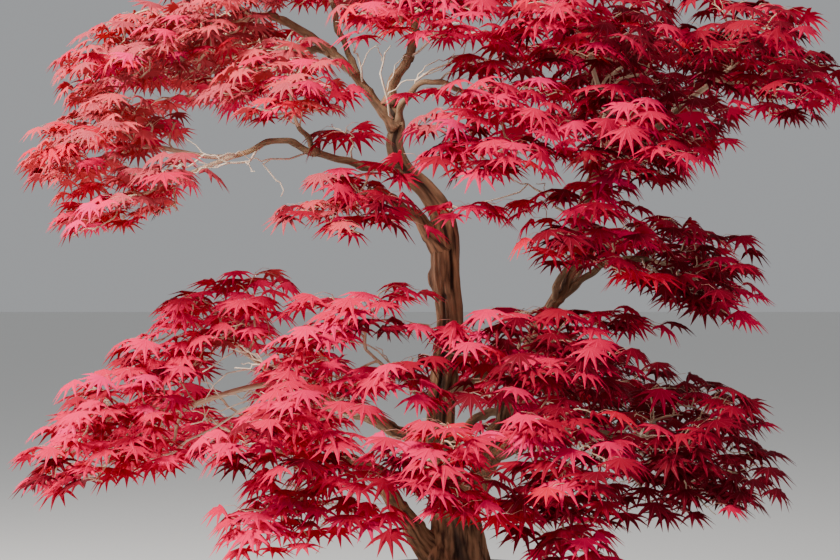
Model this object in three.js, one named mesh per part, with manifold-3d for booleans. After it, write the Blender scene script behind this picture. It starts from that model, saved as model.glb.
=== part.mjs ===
// A Japanese maple in a plain round pot: tiers of red leaves on a fluted, many-stemmed trunk.
// Millimetres, +Z up. The origin is the centre of the pot's flat underside; -Y is the front.
import * as THREE from 'three';
import { mergeVertices } from 'three/addons/utils/BufferGeometryUtils.js';
import Module from 'manifold-3d';

const wasm = await Module();
wasm.setup();

// Driving dimensions
const GAP = 0.3; // clearance between two pieces that touch
const POT = { height: 480, rim: 320, waist: 296, foot: 225, wall: 26, floor: 34, band: 54, segments: 24 };
const SOIL = { below: 40, mound: 14 }; // how far the soil lies under the rim, and its rise at the trunk
const SOIL_TOP = POT.height - SOIL.below;
const TRUNK = {
  sides: 12, stepsEach: 2, flutes: 3, fluteAtFoot: 0.13, fluteAtTop: 0.05, phase: 0.7, twist: 0.12,
};
const LIMB = { sides: 6, stepLength: 110, taper: 0.8 };
// Twigs: radii of a mass's stem and of its finest twigs, how fast they thicken with what they carry, the
// shortest one, how far before its end one forks, and how far apart its forks lie
const TWIG = { stem: 5.5, least: 1.9, share: 1.5, shortest: 34, fork: 16, forkStep: 16 };
// What counts against a way home for a leaf's twig: each fork already on its carrier, and the way from there
const HOME = { crowding: 25, detour: 0.35 };
const STEM = { shortest: 70, depth: 0.62, apart: 0.52, slim: 0.4 }; // a mass's stem, and two on one limb's tip
// Leaves: length as a share of their mass's reach, least and most length, thickness at the heart, the notches
// between lobes and at the neck, how far tips hang, and how far the whole leaf tips, yaws and rolls
const LEAF = {
  share: 0.29, least: 105, most: 142, heart: 5.6, sinus: 0.36, notch: 0.13,
  droop: 0.22, pitch: 0.5, yaw: 1.3, roll: 0.5,
};
const LOBES = [[0, 1], [0.87, 0.93], [1.82, 0.68]]; // each lobe's turn from the middle one, and its share
const LEAF_AREA = 11000; // square millimetres of a mass's plan for each leaf
const DOME = { bend: 0.9, top: 0.9, depth: 1.3 }; // the layer of a mass's ball that its leaves' hearts fill
const SLACK = 1.2; // how far past its mass's ball a lobe may reach
const CLEAR = 1.2; // least distance from a leaf or twig to a limb or to another mass's space
const HALF_WIDTH = { lobe: 12, twig: 4 };
const FLATNESS = 2.2; // tiers lie over each other: heights count this much more when space is shared out

const COLOUR = { pot: 0x7d7c79, soil: 0x3a2a20, bark: 0x8a6a50, leaves: 0xc8284a };

// The trunk's line from the soil to its tip: rise above the soil, x, y and radius
const TRUNK_LINE = [
  [0, 0, 0, 90], [30, 0, 0, 78], [85, 2, 0, 70], [155, 2, 2, 54], [245, -12, 4, 42], [360, -35, 0, 33],
  [500, -28, -4, 29], [635, -12, 0, 28], [730, -20, 4, 33], [825, -24, 4, 35], [880, -32, 0, 27],
  [935, -66, -4, 21], [985, -118, 0, 19], [1040, -138, 4, 18], [1090, -132, 0, 17], [1135, -156, 0, 13],
];

// Limbs, in the order in which they leave the trunk: where each leaves its parent (a rise above the soil on
// the trunk, a share of the length on a limb), the points it passes, its radius at each end, and its masses
const LIMBS = {
  low_left_limb: { rise: 60, way: [[-115, -40, 625], [-165, -90, 720], [-245, -170, 780]], thick: [30, 12] },
  right_stem: {
    rise: 110, thick: [25, 10],
    way: [[60, 45, 725], [140, 65, 910], [215, 40, 1095], [275, 20, 1195], [290, 0, 1320], [345, -20, 1450]],
  },
  low_right_limb: { rise: 140, way: [[70, -60, 725], [108, -100, 795], [155, -180, 835]], thick: [17, 10] },
  low_front_bough: { rise: 240, way: [[-20, -120, 770], [-35, -260, 805]], thick: [11, 7] },
  low_left_bough: { rise: 340, way: [[-150, 40, 830], [-255, 60, 875], [-380, 30, 925]], thick: [17, 9] },
  low_back_left_bough: { rise: 300, way: [[-130, 140, 805], [-265, 280, 845]], thick: [14, 8] },
  low_back_right_bough: { rise: 330, way: [[60, 140, 840], [155, 280, 865]], thick: [13, 8] },
  low_inner_bough: { rise: 430, way: [[-95, -60, 925], [-160, -115, 975]], thick: [10, 7] },
  low_top_bough: { rise: 450, way: [[20, -55, 925], [90, -75, 975]], thick: [9, 7] },
  fork_bough: { rise: 800, way: [[-105, -25, 1325], [-155, -50, 1358], [-200, -80, 1368]], thick: [19, 8] },
  left_bough: { rise: 985, way: [[-260, -20, 1440], [-390, -40, 1485], [-500, -60, 1450]], thick: [12, 8] },
  upper_left_bough: { rise: 1075, way: [[-250, 0, 1660], [-355, 0, 1745], [-435, 0, 1780]], thick: [12, 8] },
  right_near_bough: {
    rise: 1085, way: [[-122, -35, 1575], [-90, -60, 1605], [-35, -110, 1610], [15, -170, 1585]], thick: [8, 5],
  },
  top_bough: { rise: 1128, way: [[-135, 0, 1640], [-105, 0, 1690], [-85, -20, 1800]], thick: [12, 8] },
  low_right_bough: { parent: 'low_right_limb', share: 0.62, way: [[240, -70, 815], [380, -25, 815]], thick: [10, 7] },
  tier_inner_bough: { parent: 'right_stem', share: 0.6, way: [[270, -55, 1235]], thick: [8, 6] },
  tier_outer_bough: { parent: 'right_stem', share: 0.64, way: [[370, 5, 1215], [445, -10, 1215]], thick: [9, 7] },
  tier_back_bough: { parent: 'right_stem', share: 0.66, way: [[340, 180, 1250]], thick: [8, 6] },
  right_far_bough: { parent: 'right_stem', share: 0.86, way: [[430, 25, 1480], [540, 10, 1585]], thick: [9, 7] },
  right_back_bough: { parent: 'right_stem', share: 0.9, way: [[365, 230, 1560]], thick: [9, 7] },
  left_inner_bough: { parent: 'left_bough', share: 0.5, way: [[-355, -110, 1515]], thick: [7, 5.5] },
  left_back_bough: { parent: 'upper_left_bough', share: 0.55, way: [[-405, 190, 1730]], thick: [9, 7] },
  top_left_bough: { parent: 'upper_left_bough', share: 0.4, way: [[-285, 15, 1810]], thick: [8, 6] },
  top_back_bough: { parent: 'top_bough', share: 0.5, way: [[-90, 150, 1775], [-85, 260, 1845]], thick: [8, 6] },
};

// Masses of leaves: the limb that carries each, its heart, its half sizes along X, Y and Z, and how far it
// drops for each millimetre outwards
const MASSES = {
  left_crown: { on: 'upper_left_bough', heart: [-660, 0, 1715], reach: [275, 265, 110], droop: 0.4 },
  left_tier: { on: 'left_bough', heart: [-800, -40, 1490], reach: [215, 275, 90], droop: 0.32 },
  left_tuft: { on: 'left_bough', heart: [-742, -130, 1347], reach: [190, 205, 74], droop: 0.27 },
  left_inner: { on: 'left_inner_bough', heart: [-372, -200, 1584], reach: [210, 205, 76], droop: 0.05 },
  left_back: { on: 'left_back_bough', heart: [-650, 430, 1712], reach: [320, 225, 108], droop: 0.3 },
  centre_left: { on: 'fork_bough', heart: [-232, -170, 1342], reach: [188, 200, 88], droop: 0.15 },
  top_front: { on: 'top_bough', heart: [-95, -240, 1750], reach: [210, 190, 85], droop: 0.1 },
  top_right: { on: 'top_bough', heart: [70, 0, 1975], reach: [245, 275, 105], droop: 0.1 },
  top_left: { on: 'top_left_bough', heart: [-310, 30, 1920], reach: [250, 265, 105], droop: 0.2 },
  top_back: { on: 'top_back_bough', heart: [-80, 400, 1945], reach: [330, 205, 115], droop: 0.2 },
  right_near: { on: 'right_near_bough', heart: [88, -260, 1486], reach: [200, 190, 135], droop: 0.1 },
  right_high: { on: 'right_stem', heart: [283, -160, 1735], reach: [240, 255, 110], droop: 0.15 },
  right_mid: { on: 'right_stem', heart: [386, -180, 1475], reach: [182, 225, 110], droop: 0.12 },
  right_far: { on: 'right_far_bough', heart: [690, 0, 1690], reach: [230, 275, 140], droop: 0.35 },
  right_back: { on: 'right_back_bough', heart: [440, 420, 1665], reach: [320, 215, 180], droop: 0.2 },
  tier_inner: { on: 'tier_inner_bough', heart: [275, -190, 1272], reach: [200, 205, 95], droop: 0.15 },
  tier_outer: { on: 'tier_outer_bough', heart: [562, -20, 1185], reach: [170, 235, 120], droop: 0.3 },
  tier_back: { on: 'tier_back_bough', heart: [470, 340, 1255], reach: [235, 190, 92], droop: 0.2 },
  low_left_top: { on: 'low_left_bough', heart: [-562, 20, 1062], reach: [225, 245, 118], droop: 0.43 },
  low_left_outer: { on: 'low_left_bough', heart: [-786, 0, 838], reach: [220, 275, 150], droop: 0.43 },
  low_left_inner: { on: 'low_inner_bough', heart: [-217, -175, 1032], reach: [235, 205, 137], droop: 0.1 },
  low_left_front: { on: 'low_left_limb', heart: [-360, -330, 865], reach: [212, 205, 115], droop: 0.12 },
  low_left_skirt: { on: 'low_left_limb', heart: [-342, -320, 683], reach: [202, 190, 100], droop: 0.22 },
  low_front: { on: 'low_front_bough', heart: [-48, -430, 787], reach: [188, 160, 110], droop: 0.2 },
  low_right_top: { on: 'low_top_bough', heart: [190, -90, 1013], reach: [262, 255, 114], droop: 0.12 },
  low_right_front: { on: 'low_right_limb', heart: [220, -330, 805], reach: [195, 205, 125], droop: 0.2 },
  low_right_skirt: { on: 'low_right_limb', heart: [220, -290, 640], reach: [200, 180, 78], droop: 0.25 },
  low_right_outer: { on: 'low_right_bough', heart: [552, 0, 792], reach: [205, 285, 175], droop: 0.14 },
  low_back_left: { on: 'low_back_left_bough', heart: [-510, 420, 865], reach: [370, 235, 155], droop: 0.3 },
  low_back_right: { on: 'low_back_right_bough', heart: [300, 420, 865], reach: [370, 235, 155], droop: 0.25 },
};

const UP = new THREE.Vector3(0, 0, 1);
const vector = (list) => new THREE.Vector3(...list);
const fraction = (value) => value - Math.floor(value);

// One number of an additive sequence that fills a cube evenly: its steps are powers of one irrational number,
// and each mass starts it at a place of its own
const EVEN = 1.2207440846;
const SEED_STEP = 0.377;
const evenly = (index, seed, axis) => fraction(0.5 + seed * SEED_STEP + (index + 1) / EVEN ** (axis + 1));

// A closed surface through rings with the same number of points, with a point in the middle of each end
function skin(rings) {
  const sides = rings[0].length;
  const points = rings.flat();
  const middle = (ring) => ring.reduce((sum, p) => sum.add(p), new THREE.Vector3()).divideScalar(sides);
  const last = (rings.length - 1) * sides;
  const index = [];
  for (let r = 0; r < rings.length - 1; r += 1) {
    for (let s = 0; s < sides; s += 1) {
      const [a, b] = [r * sides + s, r * sides + ((s + 1) % sides)];
      index.push(a, b, b + sides, a, b + sides, a + sides);
    }
  }
  points.push(middle(rings[0]), middle(rings.at(-1)));
  for (let s = 0; s < sides; s += 1) {
    const next = (s + 1) % sides;
    index.push(points.length - 2, next, s, points.length - 1, last + s, last + next);
  }
  return new THREE.BufferGeometry().setFromPoints(points).setIndex(index);
}

// A geometry as a solid that can be joined and cut
function solid(geometry) {
  const bare = geometry.index ? geometry.toNonIndexed() : geometry.clone();
  bare.deleteAttribute('normal');
  bare.deleteAttribute('uv');
  const merged = mergeVertices(bare, 1e-3);
  return new wasm.Manifold(new wasm.Mesh({
    numProp: 3,
    vertProperties: merged.getAttribute('position').array,
    triVerts: new Uint32Array(merged.index.array),
  }));
}

// The largest closed body of a solid: the scrap of a limb that lies inside its parent goes
function largest(whole) {
  return whole.decompose().reduce((best, body) => (body.volume() > best.volume() ? body : best));
}

function geometryOf(whole) {
  const { numProp, vertProperties, triVerts } = whole.getMesh();
  const position = new Float32Array((vertProperties.length / numProp) * 3);
  for (let i = 0; i < position.length / 3; i += 1) {
    position.set(vertProperties.subarray(i * numProp, i * numProp + 3), i * 3);
  }
  const geometry = new THREE.BufferGeometry();
  geometry.setAttribute('position', new THREE.BufferAttribute(position, 3));
  geometry.setIndex(new THREE.BufferAttribute(triVerts, 1));
  geometry.computeVertexNormals();
  return geometry;
}

const maple = new THREE.Group();

function addPiece(name, whole, colour, roughness) {
  const material = new THREE.MeshStandardMaterial({ color: colour, roughness, metalness: 0 });
  const mesh = new THREE.Mesh(geometryOf(whole), material);
  mesh.name = name;
  maple.add(mesh);
}

// A profile of [radius, height] pairs turned about the pot's axis
function turned(profile) {
  const points = profile.map(([radius, height]) => new THREE.Vector2(radius, height));
  return solid(new THREE.LatheGeometry(points, POT.segments).rotateX(Math.PI / 2));
}

// The pot's section from the middle of its underside over the rim to the middle of its floor
function potProfile() {
  const { height, rim, waist, foot, wall, floor, band } = POT;
  return [
    [0, 0], [foot - 8, 0], [foot, 10], [waist, height - band - 8], [rim - 4, height - band], [rim, height - band + 6],
    [rim, height - 8], [rim - 7, height], [rim - wall + 4, height], [rim - wall - 4, height - 8],
    [waist - wall, height - band - 20], [foot - wall + 6, floor + 8], [foot - wall - 4, floor], [0, floor],
  ];
}

// The soil fills the pot: its side runs GAP inside the pot's wall up to the soil's level
function soilProfile() {
  const inner = potProfile().slice(10, 13).reverse();
  const side = inner.map(([radius, height], i) => [radius - GAP, i === 0 ? height + GAP : height]);
  const edge = POT.waist - POT.wall + 4.5;
  return [
    [0, POT.floor + GAP], ...side, [edge, SOIL_TOP - SOIL.mound - 3],
    [edge - 14, SOIL_TOP - SOIL.mound + 2], [TRUNK_LINE[0][3] * 1.25, SOIL_TOP], [0, SOIL_TOP],
  ];
}

// The trunk: three fused stems show as flutes that fade upwards, and its foot flares
function trunkCurve() {
  const points = TRUNK_LINE.map(([rise, x, y]) => new THREE.Vector3(x, y, SOIL_TOP + GAP + rise));
  return new THREE.CatmullRomCurve3(points, false, 'centripetal');
}

function trunkRings(curve, extra) {
  const { sides, stepsEach, flutes, fluteAtFoot, fluteAtTop, phase, twist } = TRUNK;
  const spans = TRUNK_LINE.length - 1;
  const rings = [];
  for (let step = 0; step <= spans * stepsEach; step += 1) {
    const along = step / stepsEach;
    const span = Math.min(Math.floor(along), spans - 1);
    const radius = THREE.MathUtils.lerp(TRUNK_LINE[span][3], TRUNK_LINE[span + 1][3], along - span);
    const flute = THREE.MathUtils.lerp(fluteAtFoot, fluteAtTop, along / spans);
    const centre = curve.getPoint(along / spans);
    const tangent = curve.getTangent(along / spans);
    if (step === 0) tangent.copy(UP);
    if (step === spans * stepsEach) centre.addScaledVector(tangent, extra);
    const across = new THREE.Vector3(1, 0, 0).projectOnPlane(tangent).normalize();
    const deep = tangent.clone().cross(across);
    const ring = [];
    for (let s = 0; s < sides; s += 1) {
      const turn = (2 * Math.PI * s) / sides;
      const bulge = radius * (1 + flute * Math.cos(flutes * turn + phase + along * twist)) + extra;
      const point = centre.clone().addScaledVector(across, bulge * Math.cos(turn));
      ring.push(point.addScaledVector(deep, bulge * Math.sin(turn)));
    }
    rings.push(ring);
  }
  return rings;
}

// A tapering limb along a curve; extra makes it fatter and longer, to cut its children clear of it
function limbSolid(curve, [root, tip], extra = 0) {
  const steps = Math.max(2, Math.round(curve.getLength() / LIMB.stepLength));
  const frames = curve.computeFrenetFrames(steps);
  const rings = [];
  for (let step = 0; step <= steps; step += 1) {
    const along = step / steps;
    const centre = curve.getPointAt(along);
    if (step === steps) centre.addScaledVector(frames.tangents[step], extra);
    const radius = THREE.MathUtils.lerp(root, tip, along ** LIMB.taper) + extra;
    const ring = [];
    for (let s = 0; s < LIMB.sides; s += 1) {
      const turn = (2 * Math.PI * s) / LIMB.sides;
      const point = centre.clone().addScaledVector(frames.normals[step], radius * Math.cos(turn));
      ring.push(point.addScaledVector(frames.binormals[step], radius * Math.sin(turn)));
    }
    rings.push(ring);
  }
  return solid(skin(rings));
}

// Everything that leaves and twigs keep clear of, as straight pieces with a radius
const obstacles = [];
const PIECE_LENGTH = 40;

function addObstacle(curve, radiusAt, owner) {
  const pieces = Math.max(2, Math.round(curve.getLength() / PIECE_LENGTH));
  const points = curve.getSpacedPoints(pieces);
  for (let i = 0; i < pieces; i += 1) {
    obstacles.push({ a: points[i], b: points[i + 1], radius: radiusAt(i / pieces), owner });
  }
}

// The share of a curve at which it reaches a height
function shareAtHeight(curve, height) {
  let [low, high] = [0, 1];
  for (let i = 0; i < 24; i += 1) {
    const middle = (low + high) / 2;
    if (curve.getPointAt(middle).z < height) low = middle;
    else high = middle;
  }
  return low;
}

const limbs = {};

function growTrunk() {
  const curve = trunkCurve();
  const fat = solid(skin(trunkRings(curve, GAP)));
  limbs.trunk = { curve, fat };
  addPiece('trunk', solid(skin(trunkRings(curve, 0))), COLOUR.bark, 0.85);
  addObstacle(curve, (along) => {
    const rise = curve.getPointAt(along).z - SOIL_TOP;
    const station = TRUNK_LINE.findLast(([height]) => height <= rise) ?? TRUNK_LINE[0];
    return station[3] * (1 + TRUNK.fluteAtTop);
  }, 'trunk');
}

function growLimb(name, { parent = 'trunk', rise, share, way, thick }) {
  const carrier = limbs[parent];
  const leaves = share ?? shareAtHeight(carrier.curve, SOIL_TOP + rise);
  const start = carrier.curve.getPointAt(leaves);
  const curve = new THREE.CatmullRomCurve3([start, ...way.map(vector)], false, 'centripetal');
  const whole = largest(limbSolid(curve, thick).subtract(carrier.fat));
  limbs[name] = { curve, fat: limbSolid(curve, thick, GAP), thick };
  addPiece(name, whole, COLOUR.bark, 0.85);
  addObstacle(curve, (along) => THREE.MathUtils.lerp(...thick, along ** LIMB.taper), name);
}

// The least distance between two straight pieces
function distance(a, b, c, d) {
  const [u, v, w] = [b.clone().sub(a), d.clone().sub(c), a.clone().sub(c)];
  const [uu, uv, vv, uw, vw] = [u.dot(u), u.dot(v), v.dot(v), u.dot(w), v.dot(w)];
  const spread = uu * vv - uv * uv;
  let s = spread > 1e-9 ? THREE.MathUtils.clamp((uv * vw - vv * uw) / spread, 0, 1) : 0;
  const t = THREE.MathUtils.clamp((uv * s + vw) / vv, 0, 1);
  s = THREE.MathUtils.clamp((uv * t - uw) / uu, 0, 1);
  return w.addScaledVector(u, s).addScaledVector(v, -t).length();
}

const clearOfLimbs = (a, b, radius, owner) => obstacles.every((o) => (
  o.owner === owner || distance(a, b, o.a, o.b) > o.radius + radius + CLEAR));

// A mass's space: a ball stretched to its reach and sheared by its droop, cut by planes between it and its
// neighbours, each set in proportion to how far the two reach towards it
function makeSpace(name) {
  const { heart, reach, droop } = MASSES[name];
  const centre = vector(heart);
  const outward = new THREE.Vector3(heart[0], heart[1], 0).normalize();
  const shape = (inset) => {
    const [a, b, c] = [reach[0] - inset, reach[1] - inset, reach[2] - inset / 5];
    return new THREE.Matrix3(a, 0, 0, 0, b, 0, -droop * outward.x * a, -droop * outward.y * b, c);
  };
  return { name, centre, outward, shape, toBall: shape(0).invert() };
}

const support = (space, normal) => normal.clone().applyMatrix3(space.shape(0).transpose()).length();

function sharePlanes(spaces) {
  for (const space of spaces) {
    space.planes = spaces.filter((other) => other !== space).map((other) => {
      const apart = other.centre.clone().sub(space.centre);
      const normal = new THREE.Vector3(apart.x, apart.y, apart.z * FLATNESS ** 2).normalize();
      const [mine, theirs] = [support(space, normal), support(other, normal)];
      const point = space.centre.clone().addScaledVector(apart, mine / (mine + theirs));
      return { normal, offset: normal.dot(point) - CLEAR };
    });
  }
}

function holds(space, point, slack = 1) {
  const inBall = point.clone().sub(space.centre).applyMatrix3(space.toBall).length() <= slack;
  return inBall && space.planes.every(({ normal, offset }) => normal.dot(point) < offset);
}

// A leaf: pointed lobes round a heart, the outer ones shorter, their tips hanging below it. Its twig comes
// in at the neck, behind the heart.
function makeLeaf(heart, ahead, roll, length) {
  const forward = ahead.clone().multiplyScalar(Math.cos(LEAF.pitch)).addScaledVector(UP, -Math.sin(LEAF.pitch));
  const side = UP.clone().cross(ahead).applyAxisAngle(forward, roll);
  const normal = forward.clone().cross(side);
  const reach = (turn, share, droop) => heart.clone()
    .addScaledVector(forward, Math.cos(turn) * share * length)
    .addScaledVector(side, Math.sin(turn) * share * length)
    .addScaledVector(normal, -droop * share * length);
  const turns = [...LOBES.slice(1).reverse().map(([turn, share]) => [-turn, share]), ...LOBES];
  const outline = turns.flatMap(([turn, share], i) => {
    const tip = reach(turn, share, LEAF.droop);
    if (i === turns.length - 1) return [tip];
    return [tip, reach((turn + turns[i + 1][0]) / 2, LEAF.sinus, LEAF.droop * 0.4)];
  });
  const tips = outline.filter((_, i) => i % 2 === 0);
  return { heart, forward, side, normal, outline, tips, neck: reach(Math.PI, LEAF.notch, 0) };
}

// The three corners of a twig's section as turns from its side towards its upper side
const CORNERS = [Math.PI / 6, (5 * Math.PI) / 6, (3 * Math.PI) / 2];

// A twig's own directions: along it, and two across it that follow its leaf
function twigFrame(from, to, side) {
  const along = to.clone().sub(from).normalize();
  const across = side.clone().projectOnPlane(along).normalize();
  return { along, across, upward: along.clone().cross(across) };
}

const twigRing = (centre, { across, upward }, radius) => CORNERS.map((turn) => centre.clone()
  .addScaledVector(across, Math.cos(turn) * radius).addScaledVector(upward, Math.sin(turn) * radius));

// The flat side of a twig that faces a direction best, and how squarely it does
function bestSide({ across, upward }, direction) {
  const facing = CORNERS.map((turn) => (
    Math.cos(turn + Math.PI / 3) * direction.dot(across) + Math.sin(turn + Math.PI / 3) * direction.dot(upward)));
  const most = Math.max(...facing);
  return { side: facing.indexOf(most), square: most };
}

// Corners and triangles of a mass's single closed surface
class Surface {
  points = [];

  index = [];

  add(points) {
    this.points.push(...points);
    return points.map((_, i) => this.points.length - points.length + i);
  }

  // The sides between two rings of three, but for the half of one side that is left open for a fork
  tube(from, to, open = -1) {
    for (let s = 0; s < 3; s += 1) {
      const next = (s + 1) % 3;
      if (s !== open) this.index.push(from[s], from[next], to[next]);
      this.index.push(from[s], to[next], to[s]);
    }
  }

  // A leaf is two fans that share an outline, one round a point above its heart and one round a point
  // below it, both open where its twig comes in
  leaf({ heart, normal, outline }, [near, far, under]) {
    const rim = this.add(outline);
    const [top, bottom] = this.add([0.5, -0.5].map((half) => (
      heart.clone().addScaledVector(normal, half * LEAF.heart))));
    const above = [...rim, near, far];
    const below = [...rim, near, under, far];
    above.forEach((corner, i) => this.index.push(top, corner, above[(i + 1) % above.length]));
    below.forEach((corner, i) => this.index.push(bottom, below[(i + 1) % below.length], corner));
  }

  solid() {
    return solid(new THREE.BufferGeometry().setFromPoints(this.points).setIndex(this.index));
  }
}

// A leaf with a stretch of bare twig, as a solid of its own: what other twigs and leaves keep clear of
function loneLeaf(from, leaf) {
  const surface = new Surface();
  const frame = twigFrame(from, leaf.neck, leaf.side);
  const root = surface.add(twigRing(from, frame, TWIG.least * 2));
  const end = surface.add(twigRing(leaf.neck, frame, TWIG.least));
  surface.index.push(root[0], root[2], root[1]);
  surface.tube(root, end);
  surface.leaf(leaf, end);
  return surface.solid();
}

function leafFits(leaf, space) {
  return holds(space, leaf.heart) && leaf.outline.every((p) => holds(space, p, SLACK))
    && leaf.tips.every((tip) => clearOfLimbs(leaf.heart, tip, HALF_WIDTH.lobe, space.name));
}

// Whether two solids cross: their boxes are compared first
function cross(one, other) {
  const [a, b] = [one.boundingBox(), other.boundingBox()];
  return [0, 1, 2].every((i) => a.min[i] < b.max[i] && b.min[i] < a.max[i]) && !one.intersect(other).isEmpty();
}

// Leaves spread evenly through the upper part of a mass's ball; one that doesn't fit moves towards the
// mass's heart, and is left out if it never does
const TRIES = 5;
const PULL = 0.12;
const LEAF_INSET = 0.6; // hearts keep this share of a leaf's length inside the ball
const OUTWARD = 0.6; // how much a leaf turns from the twig's own direction to the crown's outside

function placeLeaves(space, seed) {
  const { reach } = MASSES[space.name];
  const wanted = Math.round((Math.PI * reach[0] * reach[1]) / LEAF_AREA);
  const length = THREE.MathUtils.clamp(LEAF.share * (reach[0] + reach[1]), LEAF.least, LEAF.most);
  const shape = space.shape(length * LEAF_INSET);
  const leaves = [];
  for (let i = 0; i < wanted * 3 && leaves.length < wanted; i += 1) {
    const out = Math.sqrt(evenly(i, seed, 0));
    const turn = 2 * Math.PI * evenly(i, seed, 1);
    const high = Math.sqrt(1 - DOME.bend * out * out) * (DOME.top - DOME.depth * evenly(i, seed, 2));
    const spot = new THREE.Vector3(out * Math.cos(turn), out * Math.sin(turn), high).applyMatrix3(shape);
    const yaw = evenly(i, seed, 3) - 0.5;
    for (let attempt = 0; attempt < TRIES; attempt += 1) {
      const heart = spot.clone().multiplyScalar(1 - attempt * PULL).add(space.centre);
      const ahead = heart.clone().sub(space.entry).setZ(0).normalize().addScaledVector(space.outward, OUTWARD);
      ahead.normalize().applyAxisAngle(UP, yaw * LEAF.yaw);
      const leaf = makeLeaf(heart, ahead, yaw * LEAF.roll, length);
      if (!leafFits(leaf, space)) continue;
      leaf.blade = loneLeaf(leaf.neck.clone().addScaledVector(leaf.forward, -8), leaf);
      if (leaves.some((other) => cross(leaf.blade, other.blade))) continue;
      leaves.push(leaf);
      break;
    }
  }
  return leaves.sort((p, q) => p.neck.distanceTo(space.entry) - q.neck.distanceTo(space.entry));
}

// Stems leave their limb's tip side by side, and enter the mass's space between its heart and that tip
function placeStems(spaces) {
  for (const space of spaces) {
    const { on } = MASSES[space.name];
    const { curve, thick } = limbs[on];
    const tangent = curve.getTangentAt(1);
    const twins = spaces.filter((other) => MASSES[other.name].on === on && other !== space);
    const start = curve.getPointAt(1).addScaledVector(tangent, GAP);
    space.stem = TWIG.stem;
    for (const twin of twins) {
      const aside = space.centre.clone().sub(twin.centre).projectOnPlane(tangent).normalize();
      start.addScaledVector(aside, thick[1] * STEM.apart);
      space.stem = Math.min(TWIG.stem, thick[1] * STEM.slim);
    }
    space.root = start;
    const across = space.outward.clone().cross(UP).projectOnPlane(tangent).normalize();
    space.rootFrame = { across, upward: tangent.clone().cross(across) };
    const way = start.distanceTo(space.centre);
    let length = Math.min(STEM.shortest, way * 0.9);
    const entry = () => start.clone().lerp(space.centre, length / way);
    while (length < way && !holds(space, entry(), STEM.depth)) length += STEM.shortest / 10;
    space.entry = entry();
    addObstacle(new THREE.LineCurve3(start, space.entry), () => space.stem, space.name);
  }
}

// Where the next twig leaves a carrier, each one further back than the last; none if there is no room
function nextFork({ from, to, children }) {
  const back = TWIG.fork + TWIG.forkStep * children.length;
  const length = from.distanceTo(to);
  return back + TWIG.forkStep > length ? null : to.clone().lerp(from, back / length);
}

// The twig that brings a leaf home the shortest way, if there is one with a clear path
const SQUAREST = 0.12; // how squarely a fork has to face the flat side that it starts on
const LEAST_TURN = -0.1; // cosine of the sharpest bend from a twig into its leaf

function homeTwig(space, leaf, carriers) {
  const ways = carriers.filter(nextFork).map((carrier) => {
    const from = nextFork(carrier);
    const counted = HOME.detour * carrier.way + HOME.crowding * carrier.children.length;
    return { carrier, from, cost: from.distanceTo(leaf.neck) + counted };
  });
  for (const { carrier, from } of ways.sort((p, q) => p.cost - q.cost)) {
    const frame = twigFrame(from, leaf.neck, leaf.side);
    const { side, square } = bestSide(carrier.frame, frame.along);
    const straight = from.distanceTo(leaf.neck) > TWIG.shortest && frame.along.dot(leaf.forward) > LEAST_TURN;
    if (square > SQUAREST && straight && clearOfLimbs(from, leaf.neck, HALF_WIDTH.twig, space.name)) {
      const body = loneLeaf(from.clone().addScaledVector(frame.along, TWIG.fork * 0.75), leaf);
      if (!carriers.some((other) => other.body && cross(body, other.body))) {
        const way = carrier.way + carrier.from.distanceTo(from);
        return { carrier, from, to: leaf.neck, way, children: [], leaf, frame, body, side };
      }
    }
  }
  return null;
}

// A mass's twigs as a tree; leaves that find no way home are tried once more at the end, then left out
function joinLeaves(space, leaves) {
  const stem = { from: space.root, to: space.entry, way: 0, children: [] };
  stem.frame = twigFrame(space.root, space.entry, space.outward.clone().cross(UP));
  const carriers = [stem];
  const join = (leaf) => {
    const twig = homeTwig(space, leaf, carriers);
    if (!twig) return false;
    twig.carrier.children.push(twig);
    carriers.push(twig);
    return true;
  };
  leaves.filter((leaf) => !join(leaf)).forEach(join);
  return stem;
}

const load = (twig) => twig.children.reduce((sum, child) => sum + load(child), 1);

// A twig's surface from the ring that it starts on to its leaf, with a ring before and after each fork. A
// forking twig starts on half a flat side of its carrier.
function skinTwig(surface, start, twig, thick) {
  const { from, to, frame, children, leaf } = twig;
  const length = from.distanceTo(to);
  const ringAt = (back) => surface.add(twigRing(
    to.clone().addScaledVector(frame.along, -back), frame, THREE.MathUtils.lerp(TWIG.least, thick, back / length)));
  let ring = start;
  children.toReversed().forEach((child, i) => {
    const back = TWIG.fork + TWIG.forkStep * (children.length - i - 1);
    if (i === 0) {
      const first = ringAt(back + TWIG.forkStep / 2);
      surface.tube(ring, first);
      ring = first;
    }
    const next = ringAt(back - TWIG.forkStep / 2);
    surface.tube(ring, next, child.side);
    const base = [ring[child.side], ring[(child.side + 1) % 3], next[(child.side + 1) % 3]];
    const own = twigRing(child.from, child.frame, TWIG.least);
    const apart = (corner, turn) => own[corner].distanceToSquared(surface.points[base[(corner + turn) % 3]]);
    const far = (turn) => apart(0, turn) + apart(1, turn) + apart(2, turn);
    const turn = [0, 1, 2].reduce((best, t) => (far(t) < far(best) ? t : best));
    const childThick = Math.min(thick * 0.85, TWIG.least + TWIG.share * (Math.sqrt(load(child)) - 1));
    skinTwig(surface, base.map((_, s) => base[(s + turn) % 3]), child, childThick);
    ring = next;
  });
  const end = ringAt(0);
  surface.tube(ring, end);
  if (leaf) surface.leaf(leaf, end);
  else surface.index.push(...end);
}

function growMass(space, seed) {
  const stem = joinLeaves(space, placeLeaves(space, seed));
  const surface = new Surface();
  const base = surface.add(twigRing(space.root, space.rootFrame, space.stem));
  surface.index.push(base[0], base[2], base[1]);
  skinTwig(surface, base, stem, space.stem);
  addPiece(space.name, surface.solid(), COLOUR.leaves, 0.6);
}

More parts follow.
